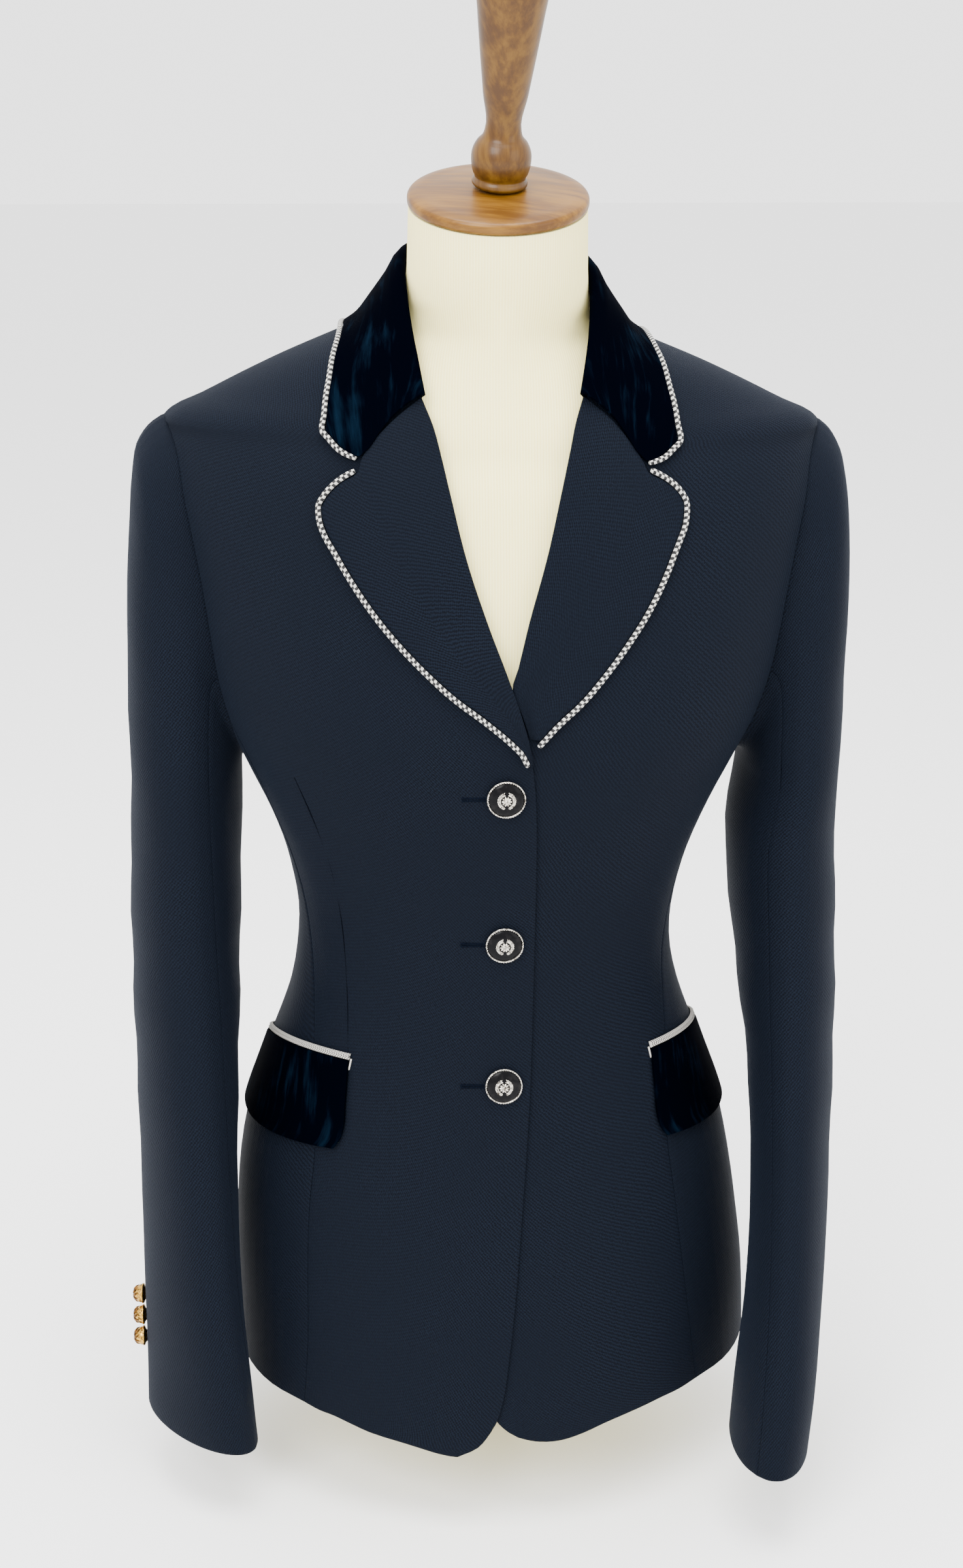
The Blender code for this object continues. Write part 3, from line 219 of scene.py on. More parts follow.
# Cream cotton jersey, knitted in narrow upright ribs.
def jerseyPaint():
    paint = Paint("creamJersey")
    spot, across, down = paint.cut()
    rib = across.wave(fabric["jerseyRib"])
    loop = down.wave(fabric["jerseyLoop"])
    slub = paint.noise(paint.stretched(spot, (500.0, 60.0, 1.0)), 1.0, 3.0)
    cloud = paint.noise(paint.place(), 9.0, 2.0)
    share = (rib * 0.55 + slub * 0.45).within(0.1, 0.9)
    base = paint.blend(share, (0.88, 0.76, 0.30), (0.94, 0.86, 0.42))
    base = paint.blend(cloud.within(0.4, 0.75) * 0.3, base, (0.90, 0.80, 0.38))
    return paint.set(BaseColor=base, Roughness=0.9, SheenWeight=0.02, SheenRoughness=0.5,
                     SpecularIORLevel=0.2, Normal=paint.bump(rib + loop * 0.3 + slub * 0.3, 0.00015, 0.4))


# Honey-stained wood under satin varnish; stretch and turn set its grain's run, tone its depth.
def woodPaint(name, stretch, turn, tone):
    paint = Paint(name)
    spot = paint.add("ShaderNodeMapping", {}, {"Vector": paint.place(), "Rotation": turn})
    long = paint.stretched(spot, stretch)
    bend = paint.noise(long, 0.35, 2.0)
    grain = paint.noise(long, 1.0, 5.0, 0.62)
    pores = paint.noise(paint.stretched(long, (6.0, 6.0, 6.0)), 1.0, 2.0)
    stains = ((0.0, (0.072, 0.027, 0.002)), (0.45, (0.112, 0.046, 0.003)), (1.0, (0.168, 0.076, 0.006)))
    stops = tuple((place, tuple(part * tone for part in colour)) for place, colour in stains)
    share = (grain * 0.7 + bend * 0.5).within(0.42, 0.78)
    base = paint.add("ShaderNodeValToRGB", {"stops": stops}, {"Fac": share})
    base = paint.blend(pores.within(0.62, 0.78) * 0.4, base, (0.055, 0.021, 0.002))
    return paint.set(BaseColor=base, Roughness=grain * 0.2 + 0.28, SpecularIORLevel=0.20, CoatWeight=0.08,
                     CoatRoughness=0.14, Normal=paint.bump(pores, 0.00012, 0.35))


# Aged bright metal, darker and paler in small random patches.
def metalPaint(name, dark, bright):
    paint = Paint(name)
    stain = paint.noise(paint.place(), 700.0, 3.0)
    base = paint.blend(stain.within(0.42, 0.68), bright, dark)
    return paint.set(BaseColor=base, Metallic=1.0, Roughness=stain * 0.25 + 0.16,
                     Normal=paint.bump(stain, 0.00008, 0.4))


def enamelPaint(name, dark, light):
    paint = Paint(name)
    smear = paint.noise(paint.place(), 260.0, 2.0)
    base = paint.blend(smear.within(0.45, 0.75), dark, light)
    return paint.set(BaseColor=base, Roughness=smear * 0.12 + 0.12, SpecularIORLevel=0.07)


def threadPaint(name, dark, light):
    paint = Paint(name)
    twist = paint.noise(paint.place(), 2200.0, 2.0)
    return paint.set(BaseColor=paint.blend(twist.within(0.35, 0.65), dark, light), Roughness=0.85,
                     SpecularIORLevel=0.03, Normal=paint.bump(twist, 0.0001, 0.6))


wool, velvet = woolPaint(), velvetPaint()
checkCord, weltCord, jersey = checkPaint(), weltPaint(), jerseyPaint()
finialWood = woodPaint("finialWood", (260.0, 260.0, 16.0), (radians(17.4), 0.0, 0.0), 0.62)
capWood = woodPaint("capWood", (22.0, 230.0, 230.0), (0.0, 0.0, 0.25), 1.0)
gold = metalPaint("wornGold", (0.030, 0.010, 0.001), (0.52, 0.30, 0.06))
silver = metalPaint("wornSilver", (0.06, 0.05, 0.04), (0.70, 0.66, 0.58))
enamel = enamelPaint("blackEnamel", (0.0015, 0.0015, 0.002), (0.006, 0.0055, 0.006))
# darker gold for the cuff buttons' star arms: painted dark reflections on the gold domes
darkReflectionGold = metalPaint("brownedGold", (0.012, 0.004, 0.001), (0.16, 0.070, 0.014))
holeThread = threadPaint("holeThread", (0.0006, 0.0012, 0.0034), (0.0022, 0.0042, 0.0095))
# dark line for the dart: painted shade in place of the seam's groove
seamThread = threadPaint("seamThread", (0.0002, 0.0004, 0.0012), (0.0006, 0.0012, 0.0030))
print("materials made")


# The curve between two places of a smooth line, t of the step on from the first.
def between(t, step, start, startSlope, end, endSlope):
    return ((2 * t ** 3 - 3 * t ** 2 + 1) * start + (t ** 3 - 2 * t ** 2 + t) * step * startSlope
            + (3 * t ** 2 - 2 * t ** 3) * end + (t ** 3 - t ** 2) * step * endSlope)


# Rows of centimetres with named columns, read smoothly against the first; plain ones have no unit.
class Table:
    def __init__(self, names, *rows, plain=()):
        self.names = names.split()
        ordered = sorted(rows)
        self.columns = {}
        for place, name in enumerate(self.names):
            unit = 1.0 if name in plain else 0.01
            self.columns[name] = [row[place] * unit for row in ordered]
        self.keys = self.columns[self.names[0]]
        self.slopes = {name: self.evenSlopes(self.columns[name]) for name in self.names}

    def evenSlopes(self, values):
        grades = [(b - a) / (d - c) for a, b, c, d in zip(values, values[1:], self.keys, self.keys[1:])]
        inner = [2 * a * b / (a + b) if a * b > 0 else 0.0 for a, b in zip(grades, grades[1:])]
        return grades[:1] + inner + grades[-1:]

    def read(self, name, key):
        keys, values, slopes = self.keys, self.columns[name], self.slopes[name]
        if key <= keys[0]:
            return values[0]
        if key >= keys[-1]:
            return values[-1]
        i = max(place for place in range(len(keys) - 1) if keys[place] <= key)
        step = keys[i + 1] - keys[i]
        return between((key - keys[i]) / step, step, values[i], slopes[i], values[i + 1], slopes[i + 1])

    def row(self, key):
        return [self.read(name, key) for name in self.names[1:]]


# The buttoned coat's level sections: half width, front and back depths, the depth where it is
# widest, the sideways place of its middle, and the power that rounds its corners.
body = Table(
    "rise half front back mid middle power",
    (5.9, 7.0, -7.9, 6.2, 0.5, 0.0, 1.90), (5.05, 9.1, -8.1, 6.9, 0.5, 0.0, 1.85),
    (4.25, 11.2, -8.3, 7.3, 0.4, 0.0, 1.80), (2.6, 14.9, -8.7, 7.9, 0.3, 0.0, 1.80),
    (1.1, 18.0, -9.2, 8.3, 0.1, 0.0, 1.80), (0.0, 20.0, -9.5, 8.6, 0.0, 0.0, 1.85),
    (-3.0, 20.0, -10.3, 9.2, 0.0, 0.0, 2.10), (-8.0, 19.2, -11.3, 9.6, 0.0, 0.0, 2.30),
    (-14.0, 18.2, -12.1, 9.5, 0.0, -0.1, 2.40), (-18.0, 16.9, -12.5, 9.1, 0.0, -0.2, 2.40),
    (-21.5, 15.2, -12.3, 8.5, 0.0, -0.3, 2.40), (-26.0, 13.2, -11.7, 7.6, 0.0, -0.4, 2.35),
    (-30.0, 12.2, -11.2, 6.9, 0.0, -0.5, 2.30), (-33.5, 12.0, -10.9, 6.7, 0.0, -0.6, 2.30),
    (-37.0, 12.7, -10.8, 7.3, 0.1, -0.55, 2.30), (-41.0, 14.1, -10.9, 8.5, 0.3, -0.55, 2.30),
    (-46.0, 15.75, -11.4, 9.7, 0.3, -0.55, 2.30), (-52.0, 16.7, -12.3, 10.6, 0.2, -0.4, 2.30),
    (-58.0, 17.05, -13.2, 11.2, 0.1, -0.1, 2.30), (-64.5, 17.1, -14.2, 11.6, 0.0, 0.0, 2.30),
    plain=("power",))
# How far the dress form stays inside the coat's outer face, beyond the cloth itself.
ease = Table(
    "rise sides ends",
    (4.0, 0.04, 0.25), (0.0, 0.10, 0.45), (-8.0, 0.30, 0.60), (-20.0, 0.45, 0.60), (-33.0, 0.45, 0.60),
    (-45.0, 0.80, 0.90), (-60.0, 1.60, 1.70))
# The form's own shoulders and neck, where the coat leaves them: level rings that lean forward.
neck = Table(
    "rise half front back lean power",
    (12.0, 5.22, -9.16, 0.76, 17.4, 2.00), (10.6, 5.25, -9.06, 1.20, 14.0, 2.00),
    (9.0, 5.28, -8.86, 1.80, 9.0, 2.00), (7.8, 5.45, -8.66, 2.60, 4.5, 1.95),
    (6.9, 5.75, -8.52, 3.40, 2.0, 1.85), (6.1, 6.25, -8.42, 4.20, 0.5, 1.65),
    (5.4, 7.20, -8.36, 4.90, 0.0, 1.45), (4.6, 9.35, -8.34, 5.60, 0.0, 1.34),
    (3.6, 11.95, -8.36, 6.20, 0.0, 1.38), (2.4, 14.60, -8.46, 6.80, 0.0, 1.50),
    (1.1, 17.35, -8.66, 7.40, 0.0, 1.62), (0.0, 19.40, -8.90, 7.80, 0.0, 1.72),
    (-1.2, 19.70, -9.10, 8.10, 0.0, 1.85), plain=("lean", "power"))
# The armhole seen from the side, down to the row where the side panel takes over.
armhole = Table(
    "rise front back",
    (0.0, 0.0, 0.0), (-0.9, -2.1, 1.9), (-2.2, -3.2, 3.0), (-4.2, -4.0, 3.9), (-8.0, -4.7, 4.6),
    (-11.0, -5.2, 4.9), (-13.5, -5.4, 4.9), (-17.8, -4.8, 4.6))
# Its bottom, from the front seam to the side back seam.
underarm = Table(
    "depth rise",
    (-4.8, -17.8), (-3.9, -19.5), (-2.2, -20.8), (0.0, -21.2), (2.0, -20.8), (3.7, -19.6), (4.6, -17.8))
# Seams down the body, as shares of the half width in front and turns in degrees behind.
frontSeam = Table(
    "rise share",
    (-17.8, 0.935), (-21.0, 0.955), (-24.0, 0.965), (-30.0, 0.945), (-34.0, 0.915), (-38.5, 0.845),
    (-42.0, 0.770), (-46.0, 0.715), (-54.0, 0.715), (-64.5, 0.755), plain=("share",))
backSeam = Table(
    "rise turn",
    (-17.8, 112.0), (-24.0, 115.0), (-33.5, 119.0), (-45.0, 122.0), (-64.5, 124.0), plain=("turn",))
# Inner edges of the fronts, as a distance across from the centre line: the neckline, the roll
# line of the lapel and the front edge. The wearer's right front laps over the left.
rightEdge = Table(
    "rise across",
    (5.9, -7.1), (5.0, -7.0), (3.7, -6.5), (2.4, -5.8), (1.6, -5.1), (-0.6, -4.32), (-3.2, -3.62),
    (-6.9, -2.62), (-10.5, -1.35), (-14.4, 0.20), (-17.5, 1.25), (-19.4, 1.65), (-25.0, 1.85),
    (-33.0, 1.80), (-41.7, 1.60), (-46.0, 1.30), (-56.0, 0.50), (-61.0, -0.20), (-61.8, -0.38),
    (-62.6, -0.75), (-63.2, -1.30), (-63.6, -2.05), (-63.85, -3.05))
leftEdge = Table(
    "rise across",
    (5.9, 7.1), (5.0, 7.0), (3.7, 6.5), (2.4, 5.8), (1.6, 5.1), (-0.6, 4.45), (-3.2, 3.75), (-6.9, 2.75),
    (-10.5, 1.60), (-14.4, 0.45), (-17.0, -0.80), (-19.5, -1.70), (-25.0, -1.90), (-50.0, -1.90),
    (-57.0, -1.60), (-60.5, -1.15), (-61.7, -0.55), (-62.3, 0.00), (-62.8, 0.80))
# The hem's rise against the distance across; the fronts dip a little at their corners.
hem = Table(
    "across right left",
    (0.8, -63.2, -62.8), (1.6, -63.6, -63.05), (2.15, -63.8, -63.15), (3.0, -63.92, -63.2),
    (4.0, -63.85, -63.1), (6.2, -63.35, -62.45), (8.6, -62.9, -61.9), (11.2, -62.3, -61.5),
    (17.1, -62.1, -61.3))
# Lapel outlines in front view: the top runs down the gorge seam, over the notch and out to the
# tip, and the edge runs from the tip down to the top button.
lapelTop = Table(
    "part across right left",
    (0, 4.60, 1.82, 1.78), (1, 6.30, 0.50, 0.38), (2, 8.06, -1.52, -1.92), (3, 8.30, -2.30, -2.45),
    (4, 9.20, -2.85, -2.95), (5, 10.0, -3.60, -3.60), (6, 10.42, -4.30, -4.30), plain=("part",))
rightLapelEdge = Table(
    "part across rise",
    (0, 10.42, -4.30), (1, 10.30, -5.20), (2, 9.50, -6.75), (3, 8.50, -8.45), (4, 7.30, -10.20),
    (5, 5.90, -11.90), (6, 4.45, -13.40), (7, 2.85, -14.85), (8, 1.25, -16.05), (9, -0.10, -17.15),
    (10, -1.05, -18.10), (11, -1.40, -18.80), plain=("part",))
leftLapelEdge = Table(
    "part across rise",
    (0, 10.42, -4.30), (1, 10.35, -5.20), (2, 9.75, -6.75), (3, 9.15, -8.20), (4, 8.15, -10.15),
    (5, 6.95, -11.95), (6, 5.70, -13.60), (7, 4.35, -15.15), (8, 2.85, -16.50), (9, 1.95, -17.45),
    plain=("part",))
# One half of the collar, from the end of the gorge to centre back: the stand's lower edge, the
# fold that rolls over, and the fall's outer edge.
standLine = Table(
    "part across depth rise",
    (0.0, 4.85, -8.05, 1.65), (1.0, 5.35, -6.95, 3.70), (2.0, 6.05, -5.20, 5.10), (3.0, 6.95, -2.40, 5.97),
    (4.0, 7.00, 0.60, 6.02), (5.0, 6.10, 3.45, 6.02), (6.0, 3.60, 5.50, 6.02), (7.0, 0.00, 6.05, 6.02),
    plain=("part",))
foldLine = Table(
    "part across depth rise",
    (0.0, 4.66, -8.80, 1.98), (1.0, 5.05, -7.60, 4.05), (2.0, 5.45, -5.95, 6.40), (3.0, 5.64, -3.45, 8.75),
    (4.0, 5.35, -0.80, 9.60), (5.0, 4.55, 1.80, 9.75), (6.0, 2.75, 3.75, 9.65), (7.0, 0.00, 4.45, 9.60),
    plain=("part",))
fallLine = Table(
    "part across depth rise",
    (0.0, 10.05, -8.00, -0.12), (1.0, 9.90, -7.10, 1.80), (2.0, 9.45, -5.30, 3.40),
    (3.0, 8.95, -2.40, 4.80), (4.0, 8.80, 1.20, 5.10), (5.0, 7.95, 4.70, 4.50), (6.0, 4.80, 7.80, 3.50),
    (7.0, 0.00, 8.70, 3.00), plain=("part",))
# The fall's front end: along the gorge seam, then up to the collar's corner.
collarEnd = Table(
    "share across right left",
    (0.0, 4.66, 1.93, 1.88), (0.28, 6.35, 0.58, 0.46), (0.60, 8.12, -1.44, -1.84),
    (0.82, 9.15, -1.00, -1.55), (1.0, 10.05, -0.12, -0.85), plain=("share",))
fallShares = (0.0, 0.28, 0.60, 0.82, 1.0)
collarStations = (0.0, 0.45, 0.95, 1.5, 2.1, 2.7, 3.2, 3.6, 4.0, 4.5, 5.2, 6.0, 7.0)
# Sleeves below the armhole: the middle of each section, its half lengths along and across the
# flattened tube, how far it is turned and how much its front is raised.
sleeveRight = Table(
    "rise across depth long short turn slope",
    (-22.5, 19.40, -0.2, 6.60, 3.50, 0.0, 0.00), (-31.5, 19.75, -1.0, 6.40, 3.48, 5.0, 0.02),
    (-40.5, 19.90, -2.8, 6.15, 3.20, 12.0, 0.08), (-48.0, 19.95, -4.6, 5.85, 2.85, 18.0, 0.14),
    (-55.0, 19.85, -6.4, 5.55, 2.60, 25.0, 0.10), (-61.0, 19.55, -7.7, 5.30, 2.40, 34.0, 0.03),
    (-64.3, 19.42, -8.3, 5.20, 2.30, 39.0, 0.00), plain=("turn", "slope"))
sleeveLeft = Table(
    "rise across depth long short turn slope",
    (-22.5, 18.88, -0.2, 6.60, 3.12, 0.0, 0.00), (-27.0, 18.52, -0.6, 6.55, 3.40, 1.5, 0.01),
    (-32.4, 18.80, -1.2, 6.45, 3.33, 3.0, 0.02), (-41.5, 19.18, -3.8, 6.35, 2.78, 9.0, 0.10),
    (-49.0, 18.92, -6.6, 6.15, 2.50, 10.0, 0.12), (-56.0, 18.16, -9.8, 5.70, 2.46, 8.0, 0.08),
    (-60.5, 17.36, -12.1, 5.30, 2.52, 5.0, 0.03), (-63.7, 16.85, -13.3, 5.00, 2.45, 4.0, 0.00),
    plain=("turn", "slope"))
sleeveTables = {1: sleeveLeft, -1: sleeveRight}
# The sleeve head: how much of its spread is reached at each share of its drop.
sleeveHead = Table(
    "drop right left",
    (0.0, 0.0, 0.0), (0.03, 0.33, 0.38), (0.08, 0.59, 0.70), (0.15, 0.70, 0.88), (0.27, 0.79, 1.00),
    (0.45, 0.90, 1.05), (0.70, 0.97, 1.03), (1.0, 1.0, 1.0), plain=("drop", "right", "left"))
shoulderRows = (0.057, 0.047, 0.036, 0.024, 0.012, 0.004, 0.0)
armholeRows = (-0.009, -0.022, -0.042, -0.070, -0.100, -0.128, -0.153, coat["underarm"])
bodyRows = (-0.207, -0.237, -0.268, -0.300, -0.334, -0.368, -0.386, -0.404, -0.446, -0.490, -0.535,
             -0.575, -0.600, -0.616, -0.6215, -0.625)
topRows = shoulderRows + armholeRows
sleeveDrops = (-0.265, -0.315, -0.365, -0.415, -0.465, -0.515, -0.560, -0.605)


def ramp(value):
    value = max(0.0, min(1.0, value))
    return value * value * (3 - 2 * value)


# How much lower the wearer's left shoulder hangs than its level section says.
def sunk(across, rise):
    down = coat["dropDown"]
    return coat["shoulderDrop"] * ramp(across / coat["dropAcross"]) * ramp((rise + down) / down)


# The place at a turn from the front on a level section, a superellipse in four quarters.
def onSection(turn, half, front, back, mid, middle, power):
    sine, cosine = sin(turn), cos(turn)
    depth = mid - front if cosine > 0 else back - mid
    return (middle + half * copysign(abs(sine) ** (2 / power), sine),
            mid - depth * copysign(abs(cosine) ** (2 / power), cosine))


# A point of the coat's outer face.
def bodyPoint(rise, turn):
    x, y = onSection(turn, *body.row(rise))
    return Vector((x, y, coat["shoulderHeight"] + rise - sunk(x, rise)))


# The outward direction there, taken over a few degrees and millimetres.
def bodyNormal(rise, turn):
    spread, reach = radians(5), 0.007
    around = bodyPoint(rise, turn + spread) - bodyPoint(rise, turn - spread)
    above = min(rise + reach, body.keys[-1])
    upward = bodyPoint(above, turn) - bodyPoint(above - 2 * reach, turn)
    return around.cross(upward).normalized()


# The front turn at a distance from the centre line.
def turnAtAcross(rise, across):
    half, _, _, _, middle, power = body.row(rise)
    share = min(abs(across - middle) / half, 1.0)
    return copysign(asin(share ** (power / 2)), across - middle)


# The turn on one side at a distance from front to back.
def turnAtDepth(rise, depth, side):
    _, front, back, mid, _, power = body.row(rise)
    share = (mid - depth) / (mid - front if depth < mid else back - mid)
    share = max(-1.0, min(1.0, share))
    return side * acos(copysign(abs(share) ** (power / 2), share))


# How far along its line each point lies, from 0.
def travelled(points, axis=0):
    steps = np.linalg.norm(np.diff(points, axis=axis), axis=-1)
    return np.concatenate((np.zeros_like(steps.take([0], axis)), steps.cumsum(axis)), axis)


# Turns that part the girth from first to last into equal lengths.
def evenTurns(rise, first, last, count):
    turns = np.linspace(first, last, 61)
    lengths = travelled([bodyPoint(rise, turn) for turn in turns])
    return list(np.interp(np.linspace(0.0, lengths[-1], count), lengths, turns))


# How far the wearer's right front stands off the body where it laps over the left.
def overlapLift(point):
    rise = point.z - coat["shoulderHeight"]
    share = ramp((point.x - lap["from"]) / lap["over"])
    return lap["lift"] * share * ramp((lap["below"] - rise) / lap["within"])


# A point of the fronts or the back with its normal, lifted on the right front.
def coatSite(rise, turn, side=1):
    point = bodyPoint(rise, turn)
    normal = bodyNormal(rise, turn)
    if side < 0 and cos(turn) > 0:
        point = point + normal * overlapLift(point)
    return point, normal


# The place on the fronts at a distance across and a height over the shoulder points.
def frontSite(side, across, height):
    rise = height + sunk(across, height + sunk(across, height))
    return coatSite(rise, turnAtAcross(rise, across), side)


# A point's height above the coat's outer face, with the coat's normal under it.
def overCoat(point):
    rise = point.z - coat["shoulderHeight"]
    rise += sunk(point.x, rise + sunk(point.x, rise))
    half, front, back, mid, middle, power = body.row(rise)
    wide = (point.x - middle) / half
    depth = mid - front if point.y < mid else back - mid
    deep = (mid - point.y) / depth
    scale = (abs(wide) ** power + abs(deep) ** power) ** (1 / power)
    cosine = copysign(min(abs(deep / scale), 1.0) ** (power / 2), deep)
    turn = copysign(acos(cosine), wide)
    ground, normal = coatSite(rise, turn, copysign(1, point.x))
    return (point - ground).dot(normal), normal


# Moves a point out until it is the needed distance above the coat's outer face.
def clearOfCoat(point, needed):
    if point.z - coat["shoulderHeight"] > body.keys[-1]:
        return point
    height, normal = overCoat(point)
    return point + normal * max(needed - height, 0.0)


# front_left becomes frontLeft.
def titled(name):
    first, *rest = name.split("_")
    return first + "".join(word.title() for word in rest)


# A mesh from corners and faces, with flat-cloth places for its "cut" map where they are given.
def makePiece(name, corners, faces, paint, spots=None, sharp=50):
    mesh = bpy.data.meshes.new(name)
    mesh.from_pydata([tuple(corner) for corner in corners], [], faces)
    if spots is not None:
        cutMap = mesh.uv_layers.new(name="cut")
        for loop in mesh.loops:
            cutMap.data[loop.index].uv = spots[loop.vertex_index]
    shape = bmesh.new()
    shape.from_mesh(mesh)
    bmesh.ops.recalc_face_normals(shape, faces=shape.faces)
    shape.to_mesh(mesh)
    shape.free()
    mesh.materials.append(paint)
    mesh.shade_smooth()
    mesh.set_sharp_from_angle(angle=radians(sharp))
    piece = bpy.data.objects.new(name, mesh)
    bpy.context.scene.collection.objects.link(piece)
    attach(piece, "root")
    return piece


# Points between rows of points on a smooth curve through them, fineness to each step.
def finer(points, fineness):
    points = np.asarray(points, float)
    steps = np.linalg.norm(np.diff(points[..., :3], axis=0), axis=-1)
    steps = steps.reshape(len(points) - 1, -1).mean(axis=1) + 1e-9
    spread = [-1] + [1] * (points.ndim - 1)
    grades = np.diff(points, axis=0) / steps.reshape(spread)
    before, after = steps[:-1].reshape(spread), steps[1:].reshape(spread)
    inner = (grades[:-1] * after + grades[1:] * before) / (before + after)
    slopes = np.concatenate((grades[:1], inner, grades[-1:]))
    rows = [between(part / fineness, steps[i], points[i], slopes[i], points[i + 1], slopes[i + 1])
            for i in range(len(points) - 1) for part in range(fineness)]
    return np.array(rows + [points[-1]])


def finerGrid(points, fineness):
    return finer(finer(points, fineness).swapaxes(0, 1), fineness).swapaxes(0, 1)


# Faces of a closed wall: its outer corners in rows, then its inner ones, and the rim between them.
def wallFaces(rows, columns):
    index = np.arange(rows * columns).reshape(rows, columns)
    behind = rows * columns
    faces = []
    for i in range(rows - 1):
        for j in range(columns - 1):
            quad = [int(c) for c in (index[i, j], index[i + 1, j], index[i + 1, j + 1], index[i, j + 1])]
            faces += [quad, [behind + c for c in reversed(quad)]]
    rim = [int(c) for c in (*index[:, 0], *index[-1, 1:], *index[-2::-1, -1], *index[0, -2:0:-1])]
    return faces + [(b, a, behind + a, behind + b) for a, b in zip(rim, rim[1:] + rim[:1])]


# Extra lines close inside a sheet's rims, so that its edge can be rounded there.
def rimmed(points, width):
    first, last = points[0], points[-1]
    steps = [np.linalg.norm((points[a] - points[b])[..., :3], axis=-1).mean() for a, b in ((1, 0), (-2, -1))]
    near = first + (points[1] - first) * min(0.5, width / steps[0])
    far = last + (points[-2] - last) * min(0.5, width / steps[1])
    return np.concatenate((points[:1], near[None], points[1:-1], far[None], points[-1:]))


# Flat places on a sleeve: round its level section, from the outermost line, and straight down it.
def sleeveSpots(name, points):
    side = 1 if name.endswith("left") else -1
    table = sleeveTables[side]
    angles = np.linspace(-pi, 2 * pi, 361)
    outline = np.stack((weave["sleeveShort"] * np.cos(angles), weave["sleeveLong"] * np.sin(angles)), axis=-1)
    lengths = travelled(outline)
    spots = []
    for x, y, z in points.reshape(-1, 3):
        rise = z - coat["shoulderHeight"]
        across, depth, long, short, turn, _ = table.row(rise)
        turn = radians(turn)
        outward, forward = side * x - across, depth - y
        out = outward * cos(turn) + forward * sin(turn)
        ahead = forward * cos(turn) - outward * sin(turn)
        angle = atan2(ahead / long, out / short)
        if "under" in name and angle < 0:
            angle += 2 * pi
        spots.append((float(np.interp(angle, angles, lengths)) * side, float(rise)))
    return spots


sheets = {}


# A wall of cloth under rows of (outer point, normal) sites, finer than the solid, with rounded rims.
def clothSheet(name, sites, wall, paint, flip=False):
    label = titled(name) + ("Velvet" if name == "collar" else "")
    data = np.array([[[*point, *normal] for point, normal in line] for line in sites])[:, ::-1 if flip else 1]
    inset = data[..., :3].copy()
    for rim, inner in (((0, slice(None)), (1, slice(None))), ((-1, slice(None)), (-2, slice(None))),
                       ((slice(None), 0), (slice(None), 1)), ((slice(None), -1), (slice(None), -2))):
        inward = data[inner][..., :3] - data[rim][..., :3]
        inset[rim] += inward / np.linalg.norm(inward, axis=-1, keepdims=True) * coat["seamGap"] / 2
    data[..., :3] = inset
    data = rimmed(finerGrid(data, weave["fineness"]), weave["seamWidth"])
    data = rimmed(data.swapaxes(0, 1), weave["seamWidth"]).swapaxes(0, 1)
    points, normals = data[..., :3], data[..., 3:]
    normals = normals / np.linalg.norm(normals, axis=-1, keepdims=True)
    rows, columns = points.shape[:2]
    low = np.zeros((rows, columns, 1))
    low[0], low[-1], low[:, 0], low[:, -1] = 1, 1, 1, 1
    outer = points - normals * low * min(weave["seamRound"], wall * 0.3)
    outer = outer + normals * softFolds(name, points)[..., None]
    across, down = travelled(points, 1), travelled(points, 0)
    if name.startswith("sleeve"):
        spots = sleeveSpots(name, points)
    else:
        spots = [(float(u), float(-v)) for u, v in zip((across - across[:, -1:] / 2).ravel(), down.ravel())]
    corners = np.concatenate((outer.reshape(-1, 3), (points - normals * wall).reshape(-1, 3)))
    piece = makePiece(label, corners, wallFaces(rows, columns), paint, spots * 2)
    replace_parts(piece, name)
    edges = np.diff(points, axis=0)[:, :-1], np.diff(points, axis=1)[:-1]
    area = float(np.linalg.norm(np.cross(*edges), axis=-1).sum())
    sheets[label] = (piece, float(across[:, -1].max()), float(down[-1].max()), area)


# Slow waves in the cloth: level, spread, depth, waves down, waves across and start of each.
folds = {"sleeve": ((-0.36, 0.10, 0.0007, 95, 30, 0.0), (-0.20, 0.06, 0.0005, 70, -55, 1.0)),
         "waist": ((-0.33, 0.07, 0.00035, 110, 60, 0.0),), "fromCentre": 0.05, "fadeSteps": 6}


# How far a sheet ripples out, in metres, fading to nothing at its rims.
def softFolds(name, points):
    x, y, z = points[..., 0], points[..., 1], points[..., 2] - coat["shoulderHeight"]
    if name.startswith("sleeve"):
        waves, across, near = folds["sleeve"], y, 1.0
    elif name.startswith(("front", "side")):
        waves, across, near = folds["waist"], np.abs(x), np.clip(np.abs(x) / folds["fromCentre"] - 1.0, 0, 1)
    else:
        return np.zeros_like(z)
    ripple = 0.0
    for level, spread, depth, down, over, start in waves:
        strength = np.exp(-((z - level) / spread) ** 2) * near * depth
        ripple = ripple + np.sin(z * down + across * over + start) * strength
    fades = [np.clip((np.minimum(np.arange(count), np.arange(count)[::-1]) - 1) / folds["fadeSteps"], 0, 1)
             for count in z.shape]
    fade = np.outer(*fades)
    return ripple * fade * fade * (3 - 2 * fade)


piping = {"radius": 0.0016, "sides": 14, "fineness": 4, "endShare": 0.72, "tuck": 0.0032}


